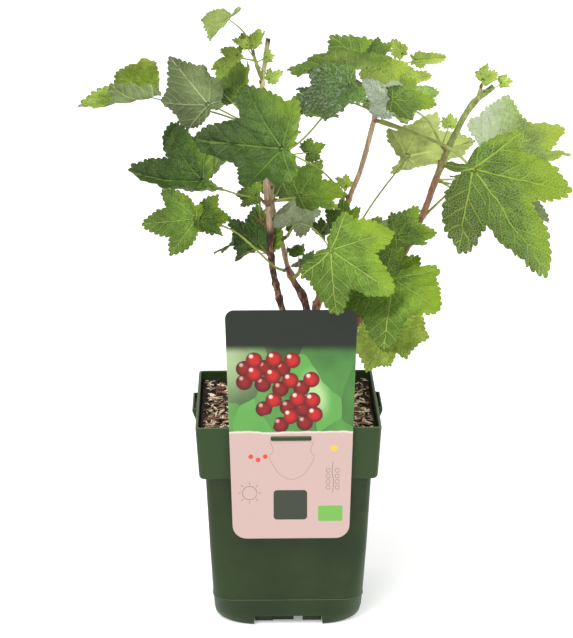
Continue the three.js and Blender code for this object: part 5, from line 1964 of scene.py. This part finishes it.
def leaf_material(kind, looks, upper):
    """A leaf's upper side or underside: main and side veins, a fine net, patches, painted shade on the
    side away from the light, and painted light, paler and yellower, where light shines through towards the
    sunny side and the edge
    """
    shader = Shader(f"leaf_{kind}_{'upper' if upper else 'under'}")
    grain = shader.map("grain")
    out, sun, _ = shader.parts(shader.map("edge"))
    main, side, along = vein_masks(shader, shader.map("flat"))
    cells = {"Vector": grain, "Scale": CRINKLED_CELLS if kind == CRINKLED_KIND else CELLS}
    flat_cells = {"voronoi_dimensions": "2D"}
    edges = shader.node("ShaderNodeTexVoronoi", {"feature": "DISTANCE_TO_EDGE", **flat_cells}, cells)
    cell = shader.node("ShaderNodeTexVoronoi", flat_cells, cells, 1)
    net = 1 - edges.between(0.01, 0.17)
    puff = edges.between(0.0, 0.40)
    cloud = shader.noise(grain, 0.055, 3.0)
    fleck = shader.noise(grain, 0.8, 2.0)

    base = looks["upper"] if upper else looks["under"]
    rim = looks["edge"] if upper else scaled(looks["under"], 1.15)
    vein = looks["vein"] if upper else scaled(looks["vein"], 1.1)
    depth = looks["shade"] * (1.25 if upper else 0.5)
    tone = shader.mix(cloud.between(0.3, 0.7), scaled(base, 0.70), scaled(base, 1.55))
    tone = shader.mix(shader.parts(cell)[0].between(0.2, 1.0) * 0.55 * depth, tone, scaled(base, 0.45))
    tone = shader.mix(fleck.between(0.42, 0.65) * 0.6 * depth, tone, scaled(base, 0.35))
    shade = (out * 0.25 - sun * 0.9 + cloud * 0.5 - 0.3).between(0.0, 0.45)
    tone = shader.mix(shade * looks["shade"], tone, looks.get("dusk", scaled(base, 0.35)))
    # Painted light: yellower where light shines through the leaf, towards the sunny side and the edge
    yellow = (sun * 0.9 + out * 0.35 + cloud * 0.5 - 0.55).between(0.0, 0.5)
    tone = shader.mix(yellow * 0.9, tone, rim)
    net = net * (0.35 + yellow * 0.3 + fleck * 0.7) * (looks["net"] if upper else 0.15)
    tone = shader.mix(net, tone, vein)
    tone = shader.mix(side * (looks["side"] + cloud * 0.5), tone, vein)
    tone = shader.mix(main * (0.62 + looks["side"] - along * 0.3), tone, vein)

    relief = (puff * 0.6 - main - side * 0.7) * (1.0 if upper else -1.0)
    rough = looks["rough"] + (0.0 if upper else 0.16) + cloud * 0.12
    constants = {"Specular IOR Level": looks["gloss"] if upper else 0.15}
    return shader.surface(constants, Base_Color=tone, Roughness=rough,
                          Normal=shader.bump(relief, looks["bump"]))


def stalk_route(start, leaf):
    """The points that a leaf's stalk passes, from the spur into the midrib"""
    sunk = leaf.bend(np.array([STALK_SUNK]), np.array([0.0]), np.array([-STALK_RADIUS / 2]))[0]
    return [start, *leaf.via, sunk]


def build_blades(name, leaves, placed, settings, kinds, materials):
    """All blades of a mass as one piece. Each has its own tile of the map for baking."""
    blades = Shape("flat", "grain", "edge", "OFBake")
    columns = max(math.ceil(math.sqrt(len(leaves) * 2)), 2)
    size = 1.0 / columns
    for number, leaf in enumerate(leaves):
        slot = 2 * kinds.index(leaf.kind)
        tile = (number % columns * size, number // columns * size, size * 0.98)
        add_leaf(blades, leaf, settings, (slot, slot + 1), tile, number >= placed)
    piece = blades.build(name + "_leaves", materials)
    drop_unused_slots(piece)
    return piece


def build_stalks(name, spur, leaves, materials):
    """The spur, a stalk to each leaf and the bud at the spur's end as one piece"""
    stalks = Shape("along")
    radii = [SPUR_RADIUS, SPUR_RADIUS * 0.9, STALK_RADIUS * 1.3]
    joints = [(0.25, 0.25, 0.06), (0.6, 0.25, 0.06)]
    add_limb(stalks, spur, radii, 12, 14, relief=0.15, seed=len(name),
             slot=0 if name in GREEN_SPURS else 1, swell=joints)
    for number, leaf in enumerate(leaves):
        share = between(STALK_STARTS, 1 - number / len(leaves))
        route = stalk_route(curve_points(spur, [share])[0], leaf)
        thick = next(share for most, share in STALK_THICKNESS if leaf.length < most)
        radii = [STALK_RADIUS * thick * taper for taper in STALK_TAPER]
        steps = max(int(route_length(route) / 2.5), 6)
        add_limb(stalks, route, radii, 8, steps, relief=0.04, seed=leaf.seed)
    tip = np.array(spur[-1], float)
    ahead = tip - np.array(spur[-2], float)
    add_bud(stalks, tip - ahead * 0.05, ahead + np.array([0, 0, 1.0]), 4.2, 2.6, 1)
    return stalks.build(name + "_stalks", materials)


class BUSH_OT_foliage(Operator):
    """Make each mass of foliage: its spur, its stalks and its leaves"""

    bl_idname = "bush.foliage"
    bl_label = "Foliage"

    def execute(self, context):
        settings = context.scene.bush_leaf
        materials = [leaf_material(kind, looks, upper)
                     for kind, looks in LEAF_KINDS.items() for upper in (True, False)]
        dark, light = scaled(settings.stalk, 0.8), scaled(settings.stalk, 1.3)
        stalk = plain_material("leaf_stalk", dark, light, 120.0, 0.45)
        spur = plain_material("spur_wood", (0.10, 0.055, 0.03), (0.24, 0.15, 0.08), 400.0, 0.7)
        by_mass = all_leaves()
        for name, mass in FOLIAGE.items():
            piece = build_blades(name, by_mass[name], len(mass["leaves"]), settings,
                                 list(LEAF_KINDS), materials)
            piece = build_stalks(name, mass["spur"], by_mass[name], [stalk, spur])
            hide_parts(name)
        return {"FINISHED"}


def drop_unused_slots(piece):
    """Keeps only the materials that a piece's faces use"""
    mesh = piece.data
    slots = np.zeros(len(mesh.polygons), np.int32)
    mesh.polygons.foreach_get("material_index", slots)
    used = sorted(set(slots.tolist()))
    kept = [mesh.materials[slot] for slot in used]
    mesh.materials.clear()
    for material in kept:
        mesh.materials.append(material)
    order = np.zeros(max(used) + 1, np.int32)
    order[used] = np.arange(len(used))
    mesh.polygons.foreach_set("material_index", order[slots])


# Stage


def aimed(place, target):
    """The turn of a lamp or camera that looks from a place at a target"""
    return (Vector(target) - Vector(place)).to_track_quat("-Z", "Y")


def add_light(scene, name, kind, strength, place, **settings):
    """A light that looks at the middle of the pot"""
    light = bpy.data.lights.new(name, kind)
    light.energy = strength
    for key, value in settings.items():
        setattr(light, key, value)
    lamp = bpy.data.objects.new(name, light)
    lamp.location = place
    lamp.rotation_euler = aimed(place, LIGHT_TARGET).to_euler()
    scene.collection.objects.link(lamp)


def add_floor(scene, settings):
    """A wide pale floor that glows a little"""
    shader = Shader("floor_paper")
    fine = shader.noise(shader.place(), 3.0, 2.0)
    tone = shader.mix(fine * 0.2, settings.floor, scaled(settings.floor, 0.98))
    glow = {"Emission Color": (1.0, 1.0, 1.0, 1.0), "Emission Strength": settings.shine}
    rough = {"Roughness": 0.9, "Specular IOR Level": 0.1}
    mesh = bpy.data.meshes.new("floor")
    corners = [(x * FLOOR_REACH, y * FLOOR_REACH, 0) for x, y in ((-1, -1), (1, -1), (1, 1), (-1, 1))]
    mesh.from_pydata(corners, [], [(0, 1, 2, 3)])
    mesh.materials.append(shader.surface({**rough, **glow}, Base_Color=tone))
    floor = bpy.data.objects.new("floor", mesh)
    scene.collection.objects.link(floor)


def add_world(scene, strength):
    """Even white light all round"""
    world = bpy.data.worlds.new("studio")
    world.use_nodes = True
    background = world.node_tree.nodes["Background"]
    background.inputs["Color"].default_value = (1.0, 1.0, 1.0, 1.0)
    background.inputs["Strength"].default_value = strength
    scene.world = world


def add_camera(scene):
    """The camera of the photograph"""
    camera = bpy.data.cameras.new("camera")
    camera.lens = CAMERA_LENS
    camera.sensor_width = 36.0
    camera.sensor_fit = "AUTO"
    camera.clip_start = 0.05
    camera.clip_end = 50
    holder = bpy.data.objects.new("camera", camera)
    turn = math.radians(CAMERA_AZIMUTH)
    x = TARGET[0] + CAMERA_AWAY * math.sin(turn)
    y = TARGET[1] - CAMERA_AWAY * math.cos(turn)
    holder.location = Vector((x, y, CAMERA_HEIGHT)) * MM
    holder.rotation_mode = "QUATERNION"
    holder.rotation_quaternion = aimed(holder.location, Vector(TARGET) * MM)
    scene.collection.objects.link(holder)
    scene.camera = holder


class BUSH_OT_stage(Operator):
    """Make the floor, the lights and the camera"""

    bl_idname = "bush.stage"
    bl_label = "Stage"

    def execute(self, context):
        scene = context.scene
        settings = scene.bush_stage
        scene.view_settings.view_transform = "Standard"
        add_floor(scene, settings)
        add_world(scene, settings.sky)
        add_light(scene, "key", "SUN", settings.key, KEY_PLACE, angle=settings.softness)
        add_light(scene, "top", "SUN", settings.top, TOP_PLACE, angle=WIDE)
        add_light(scene, "front", "SUN", settings.front, FRONT_PLACE, angle=WIDE)
        add_light(scene, "glow", "AREA", settings.glow, GLOW_PLACE, size=0.7)
        add_camera(scene)
        return {"FINISHED"}


class BUSH_PT_parts(Panel):
    """The bush's pieces in the sidebar"""

    bl_idname = "BUSH_PT_parts"
    bl_label = "Potted bush"
    bl_space_type = "VIEW_3D"
    bl_region_type = "UI"
    bl_category = "Bush"

    def draw(self, context):
        scene = context.scene
        for operator, name, _ in PIECES:
            box = self.layout.box()
            box.operator(operator.bl_idname)
            settings = getattr(scene, name)
            for key in settings.bl_rna.properties.keys():
                if key not in ("rna_type", "name"):
                    box.prop(settings, key)


PIECES = [
    (BUSH_OT_pot, "bush_pot", PotSettings),
    (BUSH_OT_soil, "bush_soil", SoilSettings),
    (BUSH_OT_label, "bush_label", LabelSettings),
    (BUSH_OT_canes, "bush_cane", CaneSettings),
    (BUSH_OT_foliage, "bush_leaf", LeafSettings),
    (BUSH_OT_stage, "bush_stage", StageSettings),
]


def register():
    for operator, name, group in PIECES:
        bpy.utils.register_class(group)
        bpy.utils.register_class(operator)
        setattr(bpy.types.Scene, name, PointerProperty(type=group))
    bpy.utils.register_class(BUSH_PT_parts)


def unregister():
    bpy.utils.unregister_class(BUSH_PT_parts)
    for operator, name, group in reversed(PIECES):
        delattr(bpy.types.Scene, name)
        bpy.utils.unregister_class(operator)
        bpy.utils.unregister_class(group)


def main():
    register()
    bpy.ops.bush.pot()
    bpy.ops.bush.soil()
    bpy.ops.bush.label()
    bpy.ops.bush.canes()
    bpy.ops.bush.foliage()
    bpy.ops.bush.stage()
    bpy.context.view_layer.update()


if __name__ == "__main__":
    main()
